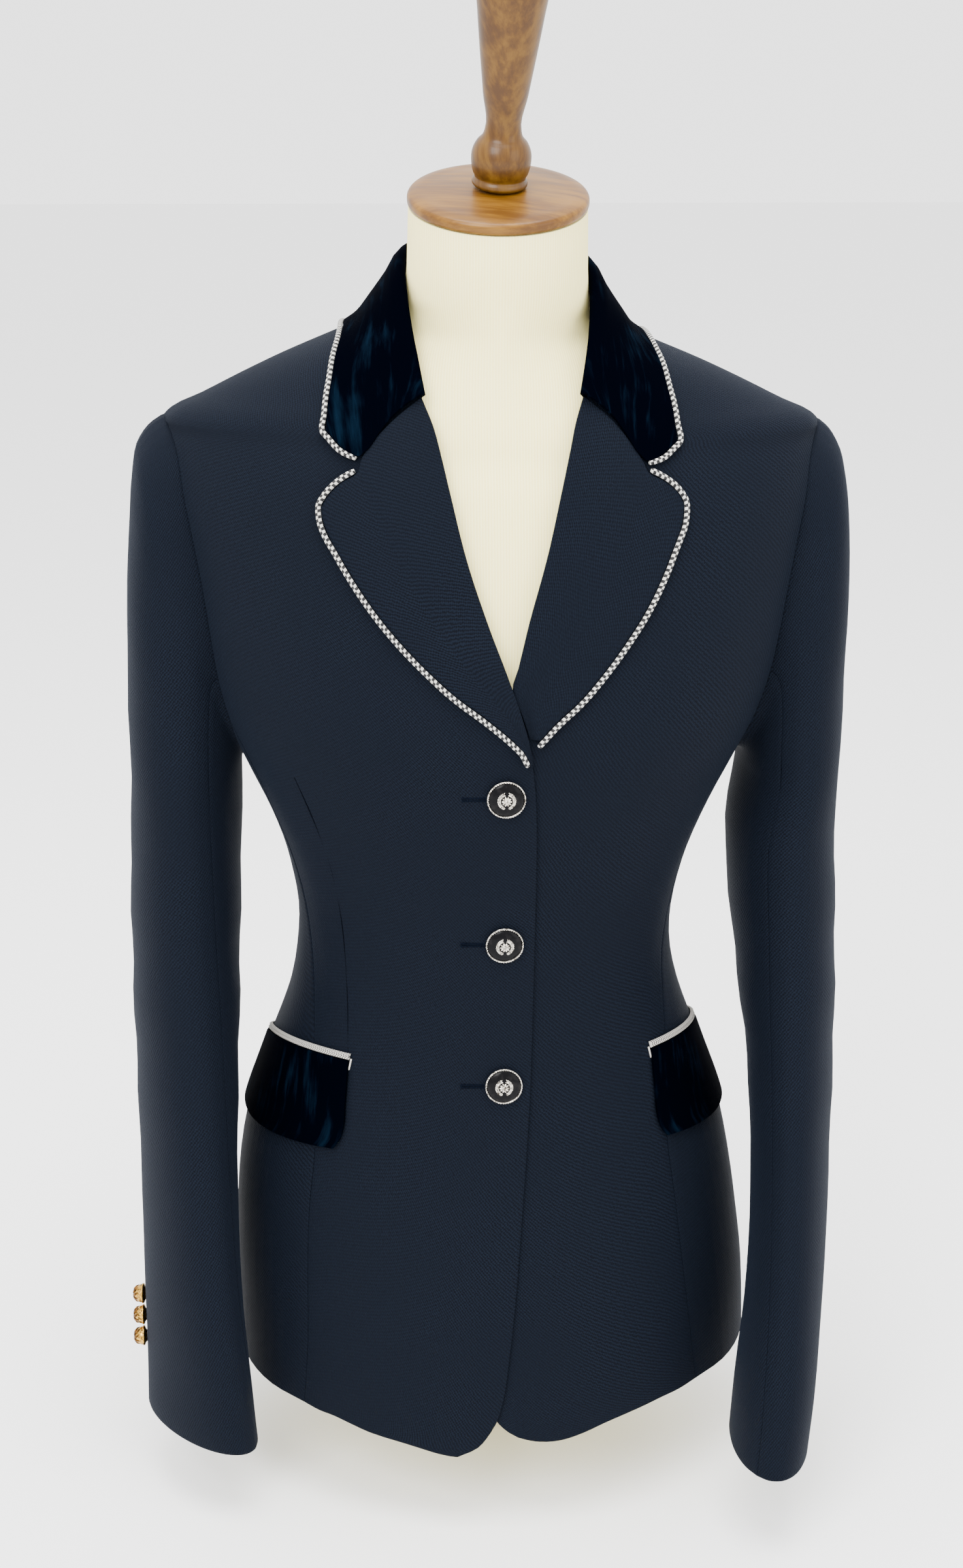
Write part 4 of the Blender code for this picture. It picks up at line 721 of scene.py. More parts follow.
# A round cord of check piping along (centre, up direction) sites.
def cord(name, sites):
    data = finer(np.array([[*centre, *up] for centre, up in sites])[:, None, :], piping["fineness"])[:, 0]
    centres = [Vector(row[:3]) for row in data]
    lengths = travelled(data[:, :3])
    sides, last = piping["sides"], len(centres) - 1
    corners, spots = [], []
    for place, row in enumerate(data):
        ahead = centres[min(place + 1, last)] - centres[max(place - 1, 0)]
        across = ahead.cross(Vector(row[3:])).normalized()
        lifted = across.cross(ahead).normalized()
        radius = piping["radius"] * (piping["endShare"] if place in (0, last) else 1.0)
        for side in range(sides + 1):
            angle = 2 * pi * side / sides
            corners.append(centres[place] + across * (radius * cos(angle)) + lifted * (radius * sin(angle)))
            spots.append((float(lengths[place]), side / sides))
    ring = sides + 1
    faces = [(a, a + 1, a + 1 + ring, a + ring)
             for place in range(last) for a in range(place * ring, place * ring + sides)]
    for first in (0, len(corners) - ring):
        corners.append(sum(corners[first:first + sides], Vector()) / sides)
        spots.append(spots[first])
        faces += [(a, a + 1, len(corners) - 1) for a in range(first, first + sides)]
    piece = makePiece(titled(name), corners, faces, checkCord, spots, 180)
    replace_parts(piece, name)
    print("{}: {:.0f} mm of cord".format(piece.name, lengths[-1] * 1000))


# A body turned round its own Z axis from (radius, height) rows, smooth between them.
def turned(name, profile, sides, paint, place, fineness, sharp=50):
    rows = finer(profile, fineness)
    angles = [2 * pi * side / sides for side in range(sides)]
    corners = [place @ Vector((radius * cos(a), radius * sin(a), height))
               for radius, height in rows for a in angles]
    faces = []
    for first in range(0, len(corners) - sides, sides):
        for side in range(sides):
            a, b = first + side, first + (side + 1) % sides
            faces.append((a, b, b + sides, a + sides))
    faces += [tuple(reversed(range(sides))), tuple(range(len(corners) - sides, len(corners)))]
    return makePiece(name, corners, faces, paint, sharp=sharp)


# Normals of a grid of points, from its neighbours; rows run down and columns run round.
def gridNormals(points, closed=False):
    rows, columns = len(points), len(points[0])
    normals = []
    for i in range(rows):
        line = []
        for j in range(columns):
            left = points[i][j - 1] if j or closed else points[i][0]
            right = points[i][(j + 1) % columns] if closed else points[i][min(j + 1, columns - 1)]
            down = points[min(i + 1, rows - 1)][j] - points[max(i - 1, 0)][j]
            line.append(down.cross(right - left).normalized())
        normals.append(line)
    return normals


def armholeTurn(rise, side, behind):
    depth = armhole.read("back" if behind else "front", rise)
    return turnAtDepth(rise, depth, side)


def seamTurn(rise, side):
    half, _, _, _, middle, _ = body.row(rise)
    return turnAtAcross(rise, middle + side * half * frontSeam.read("share", rise))


def backTurn(rise, side):
    return side * radians(backSeam.read("turn", rise))


def hand(side):
    return "left" if side > 0 else "right"


def named(part, side):
    return part + "_" + hand(side)


# Body rows below the hips close up towards the hem's own line.
def hemBlend(rowRise, lowest):
    if rowRise >= coat["hip"]:
        return rowRise
    return coat["hip"] + (rowRise - coat["hip"]) * (lowest - coat["hip"]) / (bodyRows[-1] - coat["hip"])


# Side and back rows end on the level that the hem has at the side.
def sideHem(rise, side):
    return hemBlend(rise, hem.read(hand(side), coat["hipAcross"]))


panelColumns = {"front": 10, "side": 7, "back": 8}


def frontPanel(side):
    edge = leftEdge if side > 0 else rightEdge
    sites = []
    for rowRise in topRows + bodyRows:
        rise = sideHem(rowRise, side)
        if rise > 0.0:
            outer = side * pi / 2
        elif rise >= coat["underarm"]:
            outer = armholeTurn(rise, side, False)
        else:
            outer = seamTurn(rise, side)
        line = [coatSite(rise, outer, side)]
        start = edge.read("across", hemBlend(rowRise, edge.keys[0]))
        turns = evenTurns(rise, outer, turnAtAcross(rise, start), panelColumns["front"])
        turns.insert(-1, turns[-2] * 0.4 + turns[-1] * 0.6)
        for turn in turns[1:]:
            across = bodyPoint(rise, turn).x
            low = hemBlend(rowRise, hem.read(hand(side), side * across))
            line.append(coatSite(low, turnAtAcross(low, across), side))
        sites.append(line)
    clothSheet(named("front", side), sites, coat["wall"], wool, side > 0)


# The bottom of the armhole, evenly stepped along its length.
def underarmSites(side):
    depths = np.linspace(underarm.keys[0], underarm.keys[-1], 81)
    rises = [underarm.read("rise", depth) for depth in depths]
    lengths = travelled(np.stack((depths, rises), axis=-1))
    wanted = np.linspace(0.0, lengths[-1], panelColumns["side"])
    places = [np.abs(lengths - length).argmin() for length in wanted]
    return [(rises[place], turnAtDepth(rises[place], depths[place], side)) for place in places]


def sidePanel(side):
    top = underarmSites(side)
    fades = {0: 1.0, 1: 0.66, 2: 0.36, 3: 0.12}  # how far the armhole's dip shapes the first rows
    sites = []
    for place, rowRise in enumerate((coat["underarm"],) + bodyRows):
        line = []
        for column, (topRise, topTurn) in enumerate(top):
            rise = sideHem(rowRise + (topRise - coat["underarm"]) * fades.get(place, 0.0), side)
            front, back = seamTurn(rise, side), backTurn(rise, side)
            turn = front + (back - front) * column / (len(top) - 1)
            line.append(coatSite(rise, turn if place else topTurn))
        sites.append(line)
    clothSheet(named("side", side), sites, coat["wall"], wool, side < 0)


def backPanel(side):
    sites = []
    for rowRise in topRows + bodyRows:
        rise = sideHem(rowRise, side)
        if rise > 0.0:
            outer = side * pi / 2
        elif rise > coat["underarm"]:
            outer = armholeTurn(rise, side, True)
        elif rise == coat["underarm"]:
            outer = underarmSites(side)[-1][1]
        else:
            outer = backTurn(rise, side)
        turns = evenTurns(rise, outer, side * pi, panelColumns["back"])
        sites.append([coatSite(rise, turn) for turn in turns])
    clothSheet(named("back", side), sites, coat["wall"], wool, side < 0)


# The whole armhole, from the shoulder point down the front and up the back, as (rise, turn).
def armholeRing(side):
    front = [(rise, armholeTurn(rise, side, False)) for rise in (0.0,) + armholeRows[:-1]]
    back = [(rise, armholeTurn(rise, side, True)) for rise in armholeRows[-2::-1]]
    return front + underarmSites(side) + back


# One level section of the sleeve. Share 0 is outermost, a quarter in front, a half inside.
def sleeveRing(table, side, rise, shares):
    across, depth, long, short, turn, slope = table.row(rise)
    turn = radians(turn)
    points = []
    for share in shares:
        angle = 2 * pi * share
        out = short * cos(angle)
        ahead = long * sin(angle)
        x = across + out * cos(turn) - ahead * sin(turn)
        y = depth - ahead * cos(turn) - out * sin(turn)
        points.append(Vector((side * x, y, coat["shoulderHeight"] + rise + slope * (depth - y))))
    return points


# Top sleeve and undersleeve, parted at the inner front and the outer back.
def sleeve(side):
    table = sleeveTables[side]
    ring = armholeRing(side)
    start = [bodyPoint(rise, turn) for rise, turn in ring]
    lengths = travelled(start + start[:1])
    count = len(ring)
    shares = np.interp(lengths[:-1], (0.0, lengths[count // 2], lengths[-1]), (0.0, 0.5, 1.0))
    first = sleeveRing(table, side, table.keys[-1], shares)
    rows = []
    for drop, spread in zip(sleeveHead.keys, sleeveHead.columns[hand(side)]):
        forward = 0.35 * spread + 0.65 * drop
        reach = Vector((spread, forward, drop))
        rows.append([a + (b - a) * reach for a, b in zip(start, first)])
    rows += [sleeveRing(table, side, rise, shares) for rise in sleeveDrops + (table.keys[0],)]
    normals = gridNormals(rows, closed=True)
    if side > 0:
        normals = [[-normal for normal in line] for line in normals]
    normals[0] = [bodyNormal(rise, turn) for rise, turn in ring]
    frontSplit, backSplit = 7, 15
    for part, order in (("sleeve_under", list(range(frontSplit, backSplit + 1))),
                        ("sleeve_top", list(range(backSplit, count)) + list(range(frontSplit + 1)))):
        sites = [[(row[j], line[j]) for j in order] for row, line in zip(rows, normals)]
        clothSheet(named(part, side), sites, coat["wall"], wool, side < 0)


# Even steps along a table's first column, as (across, rise) pairs.
def along(table, rises, count, first=None, last=None):
    low = table.keys[0] if first is None else first
    high = table.keys[-1] if last is None else last
    steps = [low + (high - low) * i / (count - 1) for i in range(count)]
    return [(table.read("across", step), table.read(rises, step)) for step in steps]


lapelCut = {"wall": 0.0020, "leftClear": 0.0016, "end": {"right": -0.188, "left": -0.1735},
            "rows": 15, "columns": 7}


# The lapel's front view: columns run out from the roll line, rows run down from the gorge.
def lapelGrid(side):
    edge = leftLapelEdge if side > 0 else rightLapelEdge
    roll = leftEdge if side > 0 else rightEdge
    rows, columns = lapelCut["rows"], lapelCut["columns"]
    top = along(lapelTop, hand(side), columns)
    outer = along(edge, "rise", rows)
    inner = []
    for rise in np.linspace(top[0][1], lapelCut["end"][hand(side)], rows):
        across = side * roll.read("across", rise)
        if side > 0:
            across = max(across, rightEdge.read("across", rise) + lapelCut["leftClear"])
        inner.append((across, rise))
    top, outer, inner = np.array(top), np.array(outer), np.array(inner)
    grid = []
    for i, v in enumerate(np.linspace(0.0, 1.0, rows)):
        line = []
        for j, u in enumerate(np.linspace(0.0, 1.0, columns)):
            bottom = inner[-1] * (1 - u) + outer[-1] * u
            corner = (inner[0] * (1 - u) + top[-1] * u) * (1 - v) + bottom * v
            line.append(inner[i] * (1 - u) + outer[i] * u + top[j] * (1 - v) + bottom * v - corner)
        grid.append(line)
    return grid


# A place at a height above the front that it lies on.
def laidSite(side, across, rise, height):
    point, normal = frontSite(side, side * across, rise)
    return point + normal * height, normal


def lapel(side):
    height = coat["layGap"] + lapelCut["wall"]
    sites = [[laidSite(side, across, rise, height) for across, rise in line] for line in lapelGrid(side)]
    clothSheet(named("lapel", side), sites, lapelCut["wall"], wool, side < 0)


# A flat line moved sideways to its left.
def offsetLine(line, distance):
    moved = []
    for place, (x, y) in enumerate(line):
        before = line[max(place - 1, 0)]
        after = line[min(place + 1, len(line) - 1)]
        alongX, alongY = after[0] - before[0], after[1] - before[1]
        size = hypot(alongX, alongY)
        moved.append((x - alongY / size * distance, y + alongX / size * distance))
    return moved


def lapelPiping(side):
    edge = leftLapelEdge if side > 0 else rightLapelEdge
    top = along(lapelTop, hand(side), 5, first=3.15, last=5.9)
    line = offsetLine(top + along(edge, "rise", 21, first=0.35), piping["radius"] + coat["seamGap"])
    if side > 0:  # its end runs on under the right front
        (beforeX, beforeY), (endX, endY) = line[-2:]
        share = piping["tuck"] / hypot(endX - beforeX, endY - beforeY)
        line.append((endX + (endX - beforeX) * share, endY + (endY - beforeY) * share))
    height = piping["radius"] + coat["layGap"]
    cord(named("piping_lapel", side), [laidSite(side, across, rise, height) for across, rise in line])


collarCut = {"wall": 0.0022, "ease": 0.0004, "easeReach": 2.5, "bulge": -0.0008, "turn": 0.0017,
             "gorgeReach": 1.6}


# One at the collar's front end, fading to nothing up by the shoulder.
def nearGorge(station):
    return max(0.0, 1.0 - station / collarCut["gorgeReach"]) ** 1.6


# The collar lies closest in front and stands off a little more over the shoulder ridge.
def collarEase(station):
    return collarCut["ease"] * ramp(station / collarCut["easeReach"])


# Half of the collar's middle surface, from the gorge to centre back: one row of points from
# the stand's lower edge over the fold to the fall's outer edge.
def collarHalf(side):
    rows = []
    for station in collarStations:
        stand, fold, fall = (Vector(table.row(station)) for table in (standLine, foldLine, fallLine))
        for point in (stand, fold, fall):
            point.x *= side
            point.z += coat["shoulderHeight"] - sunk(point.x, 0.0) * (1 - nearGorge(station))
        downStand = (stand - fold).normalized()
        downFall = (fall - fold).normalized()
        crest = -(downStand + downFall).normalized()
        apart = (downFall - downStand)
        apart = (apart - crest * apart.dot(crest)).normalized()
        inside, outside = fold - apart * collarCut["turn"], fold + apart * collarCut["turn"]
        line = [stand, stand.lerp(inside, 0.5), inside, fold + crest * collarCut["turn"]]
        nearEnd = nearGorge(station)
        for share in fallShares:
            point = outside.lerp(fall, share)
            bulge = collarCut["bulge"] * sin(pi * share) * (1 - nearEnd)
            point = point + apart * bulge
            endAcross, endRise = collarEnd.read("across", share), collarEnd.read(hand(side), share)
            endPoint, _ = laidSite(side, endAcross, endRise, coat["layGap"] + collarCut["wall"] / 2)
            straight = Vector(foldLine.row(0.0)).lerp(Vector(fallLine.row(0.0)), share)
            straight = Vector((side * straight.x, straight.y, straight.z + coat["shoulderHeight"]))
            point = point + (endPoint - straight) * nearEnd * ramp(share / fallShares[1])
            needed = coat["layGap"] + collarCut["wall"] / 2 + collarEase(station)
            line.append(clearOfCoat(point, needed) if share > 0 else point)
        rows.append(line)
    return rows


# The whole collar's middle surface, from the left gorge round the neck to the right.
def collarMiddle():
    points = collarHalf(1) + collarHalf(-1)[-2::-1]
    return points, gridNormals(points)


def collar():
    sites = [[(point + normal * (collarCut["wall"] / 2), normal) for point, normal in zip(line, normalLine)]
             for line, normalLine in zip(*collarMiddle())]
    clothSheet("collar", sites, collarCut["wall"], velvet)


# A cord's centre beside an edge of the collar, at least a height above the coat.
def besideEdge(edge, normal, out, height):
    reach = piping["radius"] + coat["touchGap"]
    rims = (edge + normal * (collarCut["wall"] / 2), edge - normal * (collarCut["wall"] / 2))
    centre = clearOfCoat(edge + out * reach, height)
    _, ground = overCoat(centre)
    level = (out - ground * out.dot(ground)).normalized()
    for _ in range(8):
        short = reach - min((centre - rim).length for rim in rims)
        if short <= 0:
            break
        centre = clearOfCoat(centre + level * (short + coat["touchGap"] / 2), height)
    return centre


# The cord along the collar's notch edges and right round its fall.
def collarPiping():
    points, normals = collarMiddle()
    eases = [collarEase(station) for station in collarStations]
    eases += eases[-2::-1]
    notch = ((-3, 0.14), (-2, 0.0), (-2, 0.8))
    ends = [[(points[row][first].lerp(points[row][first + 1], share), normals[row][first], 0.0)
             for first, share in notch] for row in (0, -1)]
    fall = [(line[-1], normalLine[-1], ease) for line, normalLine, ease in zip(points, normals, eases)]
    edges = ends[0] + fall + ends[1][::-1]
    steps = [after[0] - before[0] for before, after in zip(edges, edges[1:])]
    path = []
    for place, (edge, normal, ease) in enumerate(edges):
        behind, ahead = (normal.cross(steps[max(0, min(step, len(steps) - 1))]).normalized()
                         for step in (place - 1, place))
        out = (ahead + behind) / (1 + ahead.dot(behind))
        path.append((besideEdge(edge, normal, out, piping["radius"] + coat["layGap"] + ease), normal))
    cord("piping_collar", path)


flapCut = {"wall": 0.0022, "top": -0.3893, "bottom": -0.4465, "start": 0.094, "length": 0.128, "kick": 0.0006,
           "slant": 1.55, "fall": 0.06, "lean": 0.005, "corner": 0.0055,
           "rows": (0.0, 0.25, 0.5, 0.75, 0.9, 1.0)}
flapSteps = np.linspace(0.0, flapCut["length"], 13)


# Turns of the pocket's columns from its inner end; down is 0 at its top and 1 at the flap's foot.
def pocketTurns(side, down):
    start = flapCut["start"] + flapCut["lean"] * down + flapCut["corner"] * max(0.0, down * 4 - 3) ** 2
    rise = flapCut["top"] + (flapCut["bottom"] - flapCut["top"]) * down
    turns = turnAtAcross(rise, side * start) + side * np.linspace(0.0, pi, 161)
    return np.interp(flapSteps, travelled([bodyPoint(rise, turn) for turn in turns]), turns)


def pocketTop(distance):
    return flapCut["top"] - flapCut["slant"] * distance ** 2


def flap(side):
    sites = []
    for down in flapCut["rows"]:
        lift = coat["layGap"] + flapCut["wall"] + flapCut["kick"] * down ** 1.5
        line = []
        for distance, turn in zip(flapSteps, pocketTurns(side, down)):
            top, bottom = pocketTop(distance), flapCut["bottom"] - flapCut["fall"] * distance
            point, normal = coatSite(top + (bottom - top) * down, turn)
            line.append((point + normal * lift, normal))
        sites.append(line)
    clothSheet(named("flap", side), sites, flapCut["wall"], velvet, side < 0)


weltCut = {"radius": 0.0010, "crown": (0.35, 1.0, 0.72, 1.0, 0.35), "fineness": 4, "tabRadius": 0.00055,
           "tabOut": 0.0009, "tabTop": 0.001, "tabStep": 0.0018, "tabLift": 0.0008, "tabSink": 0.0001}


# The double piping over the flap: two ribbed rows of cord on one tape, and the tape's cut end.
def welt(side):
    name, radius = named("welt", side), weltCut["radius"]
    outer, inner = [], []
    for step, share in zip((4, 3, 2, 1, 0), weltCut["crown"]):
        sites = [coatSite(pocketTop(distance) + coat["seamGap"] + radius * step, turn)
                 for distance, turn in zip(flapSteps, pocketTurns(side, 0.0))][::side]
        inner.append([point + normal * coat["layGap"] for point, normal in sites])
        outer.append([point + normal * (coat["layGap"] + 2 * radius * share) for point, normal in sites])
    turn = turnAtAcross(flapCut["top"], side * (flapCut["start"] - weltCut["tabOut"]))
    end = []
    for step in range(5):
        point, normal = coatSite(flapCut["top"] + weltCut["tabTop"] - weltCut["tabStep"] * step, turn)
        end.append(point + normal * (weltCut["tabLift"] - weltCut["tabSink"] * step))
    tab = tube(end, weltCut["tabRadius"], 8)
    gathered(titled(named("welt_tab", side)), [tab], weltCord, 180)
    grids = [finerGrid([[list(point) for point in line] for line in grid], weltCut["fineness"])
             for grid in (outer, inner)]
    rows, columns = grids[0].shape[:2]
    lengths = travelled(grids[0], 1)
    spots = [(float(lengths[i, j]), i / (rows - 1)) for i in range(rows) for j in range(columns)] * 2
    corners = np.concatenate([grid.reshape(-1, 3) for grid in grids])
    piece = makePiece(titled(name), corners, wallFaces(rows, columns), weltCord, spots)
    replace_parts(piece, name)
    print("{}: {:.0f} mm of double cord".format(piece.name, lengths[-1, -1] * 1000))


# A placement whose Z axis looks along the normal.
def facing(point, normal):
    return Matrix.Translation(point) @ normal.to_track_quat("Z", "Y").to_matrix().to_4x4()


formCut = {"bottom": -0.595, "sides": 128, "fineness": 4, "ownFrom": -0.030, "ownWithin": 0.018,
           "levelFrom": 0.058, "middleFrom": 0.040, "within": 0.045}
neckCap = {"tilt": radians(17.4), "centre": Vector((0.0, -0.042, coat["shoulderHeight"] + 0.1243)),
           "finialTilt": radians(2.6), "topRadius": 0.0520, "topGap": 0.0009}


# One ring of the dress form: inside the coat below the shoulders, its own shape above.
def formRing(rise):
    half, front, back, mid, middle, power = body.row(rise)
    sidesEase, endsEase = ease.row(rise)
    half -= coat["wall"] + sidesEase
    front += coat["wall"] + endsEase
    back -= coat["wall"] + endsEase
    lean = 0.0
    share = ramp((rise - formCut["ownFrom"]) / formCut["ownWithin"])
    if share > 0:
        own = neck.row(rise)
        half += (own[0] - half) * share
        front += (own[1] - front) * share
        back += (own[2] - back) * share
        power += (own[4] - power) * share
        lean = radians(own[3])
    bodyShare = 1 - ramp((rise - formCut["levelFrom"]) / formCut["within"])
    mid += ((front + back) / 2 - mid) * ramp((rise - formCut["middleFrom"]) / formCut["within"])
    ring = []
    for turn in np.linspace(0.0, 2 * pi, formCut["sides"], endpoint=False):
        x, y = onSection(turn, half, front, back, mid, middle, power)
        z = coat["shoulderHeight"] + rise - sunk(x, rise) * bodyShare + tan(lean) * (y - (front + back) / 2)
        ring.append(Vector((x, y, z)))
    return ring


formRows = (formCut["bottom"], -0.54, -0.48, -0.42, -0.375, -0.34, -0.30, -0.26, -0.21, -0.17, -0.13, -0.09,
             -0.06, -0.035, -0.018, -0.006, 0.003, 0.012, 0.022, 0.032, 0.042, 0.051, 0.061, 0.072,
             0.085, 0.100)
finialProfile = (
    (1.45, 1.05), (1.60, 1.20), (1.58, 1.42), (1.48, 1.57), (1.60, 1.88), (1.72, 2.45), (1.70, 3.05),
    (1.46, 3.60), (1.16, 3.95), (1.06, 4.25), (1.30, 6.40), (1.60, 8.60), (1.88, 10.8), (2.06, 12.4),
    (1.94, 13.6), (1.35, 14.4), (0.50, 14.8))


# Joins (corners, faces) parts into one mesh.
def gathered(name, parts, paint, sharp=60):
    corners, faces = [], []
    for partCorners, partFaces in parts:
        first = len(corners)
        corners += partCorners
        faces += [tuple(first + c for c in face) for face in partFaces]
    return makePiece(name, corners, faces, paint, sharp=sharp)


# A small tube along points, with one radius or one for each point.
def tube(points, radius, sides=6):
    corners, faces = [], []
    count = len(points)
    sizes = [radius] * count if isinstance(radius, float) else radius
    for place, (point, size) in enumerate(zip(points, sizes)):
        ahead = (points[min(place + 1, count - 1)] - points[max(place - 1, 0)]).normalized()
        steep = abs(ahead.z) > 0.9
        out = (ahead.orthogonal() if steep else ahead.cross(Vector((0, 0, 1)))).normalized()
        up = out.cross(ahead)
        corners += [point + out * (size * cos(2 * pi * k / sides)) + up * (size * sin(2 * pi * k / sides))
                    for k in range(sides)]
    for first in range(0, (count - 1) * sides, sides):
        for k in range(sides):
            a, b = first + k, first + (k + 1) % sides
            faces.append((a, b, b + sides, a + sides))
    faces += [tuple(reversed(range(sides))), tuple(range(len(corners) - sides, len(corners)))]
    return corners, faces


# Rows of a dome from its foot to its crown, as (radius, height).
def domeRows(radius, foot, rise, steps):
    arch = [pi / 2 * k / steps for k in range(steps)]
    return [(radius * cos(a), foot + rise * sin(a)) for a in arch] + [(0.0003, foot + rise)]


# A small tube through (radius, turn, height) spots round a button's middle.
def relief(place, spots, radii, sides):
    return tube([place @ Vector((r * cos(a), r * sin(a), height)) for r, a, height in spots], radii, sides)


frontButton = {
    "radius": 0.0114, "rises": (-0.209, -0.304, -0.398), "domeShare": 0.93, "domeFoot": 0.0014,
    "domeRise": 0.00323,
    "rim": ((0.60, 0.0), (0.93, 0.0006), (1.0, 0.0016), (0.985, 0.0021), (0.95, 0.0021), (0.90, 0.0012)),
    "crestFoot": 0.0016, "crestRise": 0.003128, "ropeTurns": 46, "ropeAt": 0.960, "ropeHeight": 0.0024,
    "ropeRadii": (0.00020, 0.00034, 0.00020), "petals": 10, "petalAt": (0.0009, 0.0017, 0.0026, 0.0031),
    "petalLift": 0.00015, "petalRadii": (0.0003, 0.00065, 0.0006, 0.0002),
    "coreRadii": (0.0009, 0.0010, 0.0007, 0.0002),
    "coreRises": (-0.0004, 0.0001, 0.0004, 0.0006), "leaves": 13, "leafAt": 0.0045, "leafLean": 0.0005,
    "leafLift": 0.0002, "leafRadii": (0.00022, 0.00042, 0.00012)}


# Front buttons: black enamel dome, roped rim and a raised rosette in a leaf wreath.
def frontButtons():
    radius = frontButton["radius"]
    domeRadius = radius * frontButton["domeShare"]

    def crestHeight(r):
        return frontButton["crestFoot"] + frontButton["crestRise"] * (1 - (r / domeRadius) ** 2)

    parts = []
    for k in range(frontButton["ropeTurns"]):
        a = 2 * pi * k / frontButton["ropeTurns"]
        spots = [(radius * (frontButton["ropeAt"] + 0.028 * s), a + 0.05 * s,
                  frontButton["ropeHeight"] + 0.0002 * (1 - s * s)) for s in (-1, 0, 1)]
        parts.append((spots, frontButton["ropeRadii"], 6))
    for k in range(frontButton["petals"]):
        a = 2 * pi * k / frontButton["petals"]
        spots = [(r, a, crestHeight(r) + frontButton["petalLift"]) for r in frontButton["petalAt"]]
        parts.append((spots, frontButton["petalRadii"], 8))
    spots = [(0.0, 0.0, crestHeight(0.0) + height) for height in frontButton["coreRises"]]
    parts.append((spots, frontButton["coreRadii"], 10))
    for turn in (1, -1):  # two leaf rows climbing from the foot, open at the top
        for k in range(frontButton["leaves"]):
            a = -pi / 2 + turn * (0.25 + k / (frontButton["leaves"] - 1) * 2.45)
            for lean in (-frontButton["leafLean"], frontButton["leafLean"]):
                spots = []
                for step, onward in enumerate((0.0, 0.12, 0.22)):
                    r = frontButton["leafAt"] + lean * step
                    spots.append((r, a + turn * onward, crestHeight(r) + frontButton["leafLift"]))
                parts.append((spots, frontButton["leafRadii"], 6))
    dome = domeRows(domeRadius, frontButton["domeFoot"], frontButton["domeRise"], 14)
    rim = [(radius * share, height) for share, height in frontButton["rim"]]
    for number, rise in enumerate(frontButton["rises"], start=1):
        point, normal = frontSite(-1, 0.0, rise)
        place = facing(point + normal * coat["touchGap"], normal)
        turned("buttonDome{}".format(number), dome, 48, enamel, place, 1, 80)
        back = turned("buttonBack{}".format(number), rim, 64, silver, place, 3)
        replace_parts(back, "front_button_{}".format(number))
        crest = [relief(place, *part) for part in parts]
        gathered("buttonCrest{}".format(number), crest, silver)


cuffButton = {
    "radius": 0.0066, "step": 0.0137, "seat": 0.0001, "share": {"right": 0.85, "left": 0.80},
    "lowest": -0.600,
    "rim": ((0.55, 0.0), (0.60, 0.0004), (0.72, 0.0009), (0.93, 0.0014), (1.0, 0.0019), (0.985, 0.0026),
            (0.93, 0.0029), (0.88, 0.0024)),
    "domeShare": 0.93, "domeFoot": 0.0025, "domeRise": 0.0059, "arms": 9, "armLift": 0.0001,
    "arm": ((0.0006, 0.0), (0.0018, 0.06), (0.0034, 0.20), (0.0048, 0.42), (0.0056, 0.60)),
    "armRadii": (0.0003, 0.0007, 0.0009, 0.0007, 0.0002)}


# Cuff buttons: gold domes with a rolled rim and a star of curved arms, coloured darker as painted dark
# reflections on the domes.
def cuffButtons(side):
    label = hand(side)
    table = sleeveTables[side]
    share, radius = cuffButton["share"][label], cuffButton["radius"]
    domeRadius = radius * cuffButton["domeShare"]
    foot, domeRise = cuffButton["domeFoot"], cuffButton["domeRise"]
    domeProfile = domeRows(domeRadius, foot, domeRise, 12)
    rimRows = [(radius * across, height) for across, height in cuffButton["rim"]]
    arm = [(r, t, foot + domeRise * (1 - (r / domeRadius) ** 2) ** 0.5 + cuffButton["armLift"])
           for r, t in cuffButton["arm"]]
    turns = [2 * pi * k / cuffButton["arms"] for k in range(cuffButton["arms"])]
    for number in (1, 2, 3):
        rise = cuffButton["lowest"] + cuffButton["step"] * (3 - number)
        ring = sleeveRing(table, side, rise, (share - 0.01, share, share + 0.01))
        lower = sleeveRing(table, side, rise - 0.005, (share,))[0]
        normal = (ring[2] - ring[0]).cross(lower - ring[1]).normalized() * side
        if normal.x * side < 0:
            normal = -normal
        place = facing(ring[1] + normal * cuffButton["seat"], normal)
        name = "{}{}".format(label.title(), number)
        rim = turned("cuffRim" + name, rimRows, 40, gold, place, 3)
        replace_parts(rim, "cuff_button_{}_{}".format(label, number))
        turned("cuffDome" + name, domeProfile, 36, gold, place, 1, 80)
        star = [relief(place, [(r, t + turn, height) for r, t, height in arm], cuffButton["armRadii"], 8)
                for turn in turns]
        gathered("cuffStar" + name, star, darkReflectionGold)


# Worked buttonholes: two rows of fine stitches, and a bar across the end away from the button.
hole = {"starts": (-0.0252, -0.0254, -0.0256), "length": 0.0134, "drop": -0.0004, "stitches": 26,
        "reaches": (0.0001875, 0.00075, 0.001425), "radii": (0.00021, 0.000315, 0.000168), "lift": 0.00012,
        "barStitches": 13, "barStep": 0.00026, "barRadius": 0.00035, "barLift": 0.00022, "barAt": -0.0004}


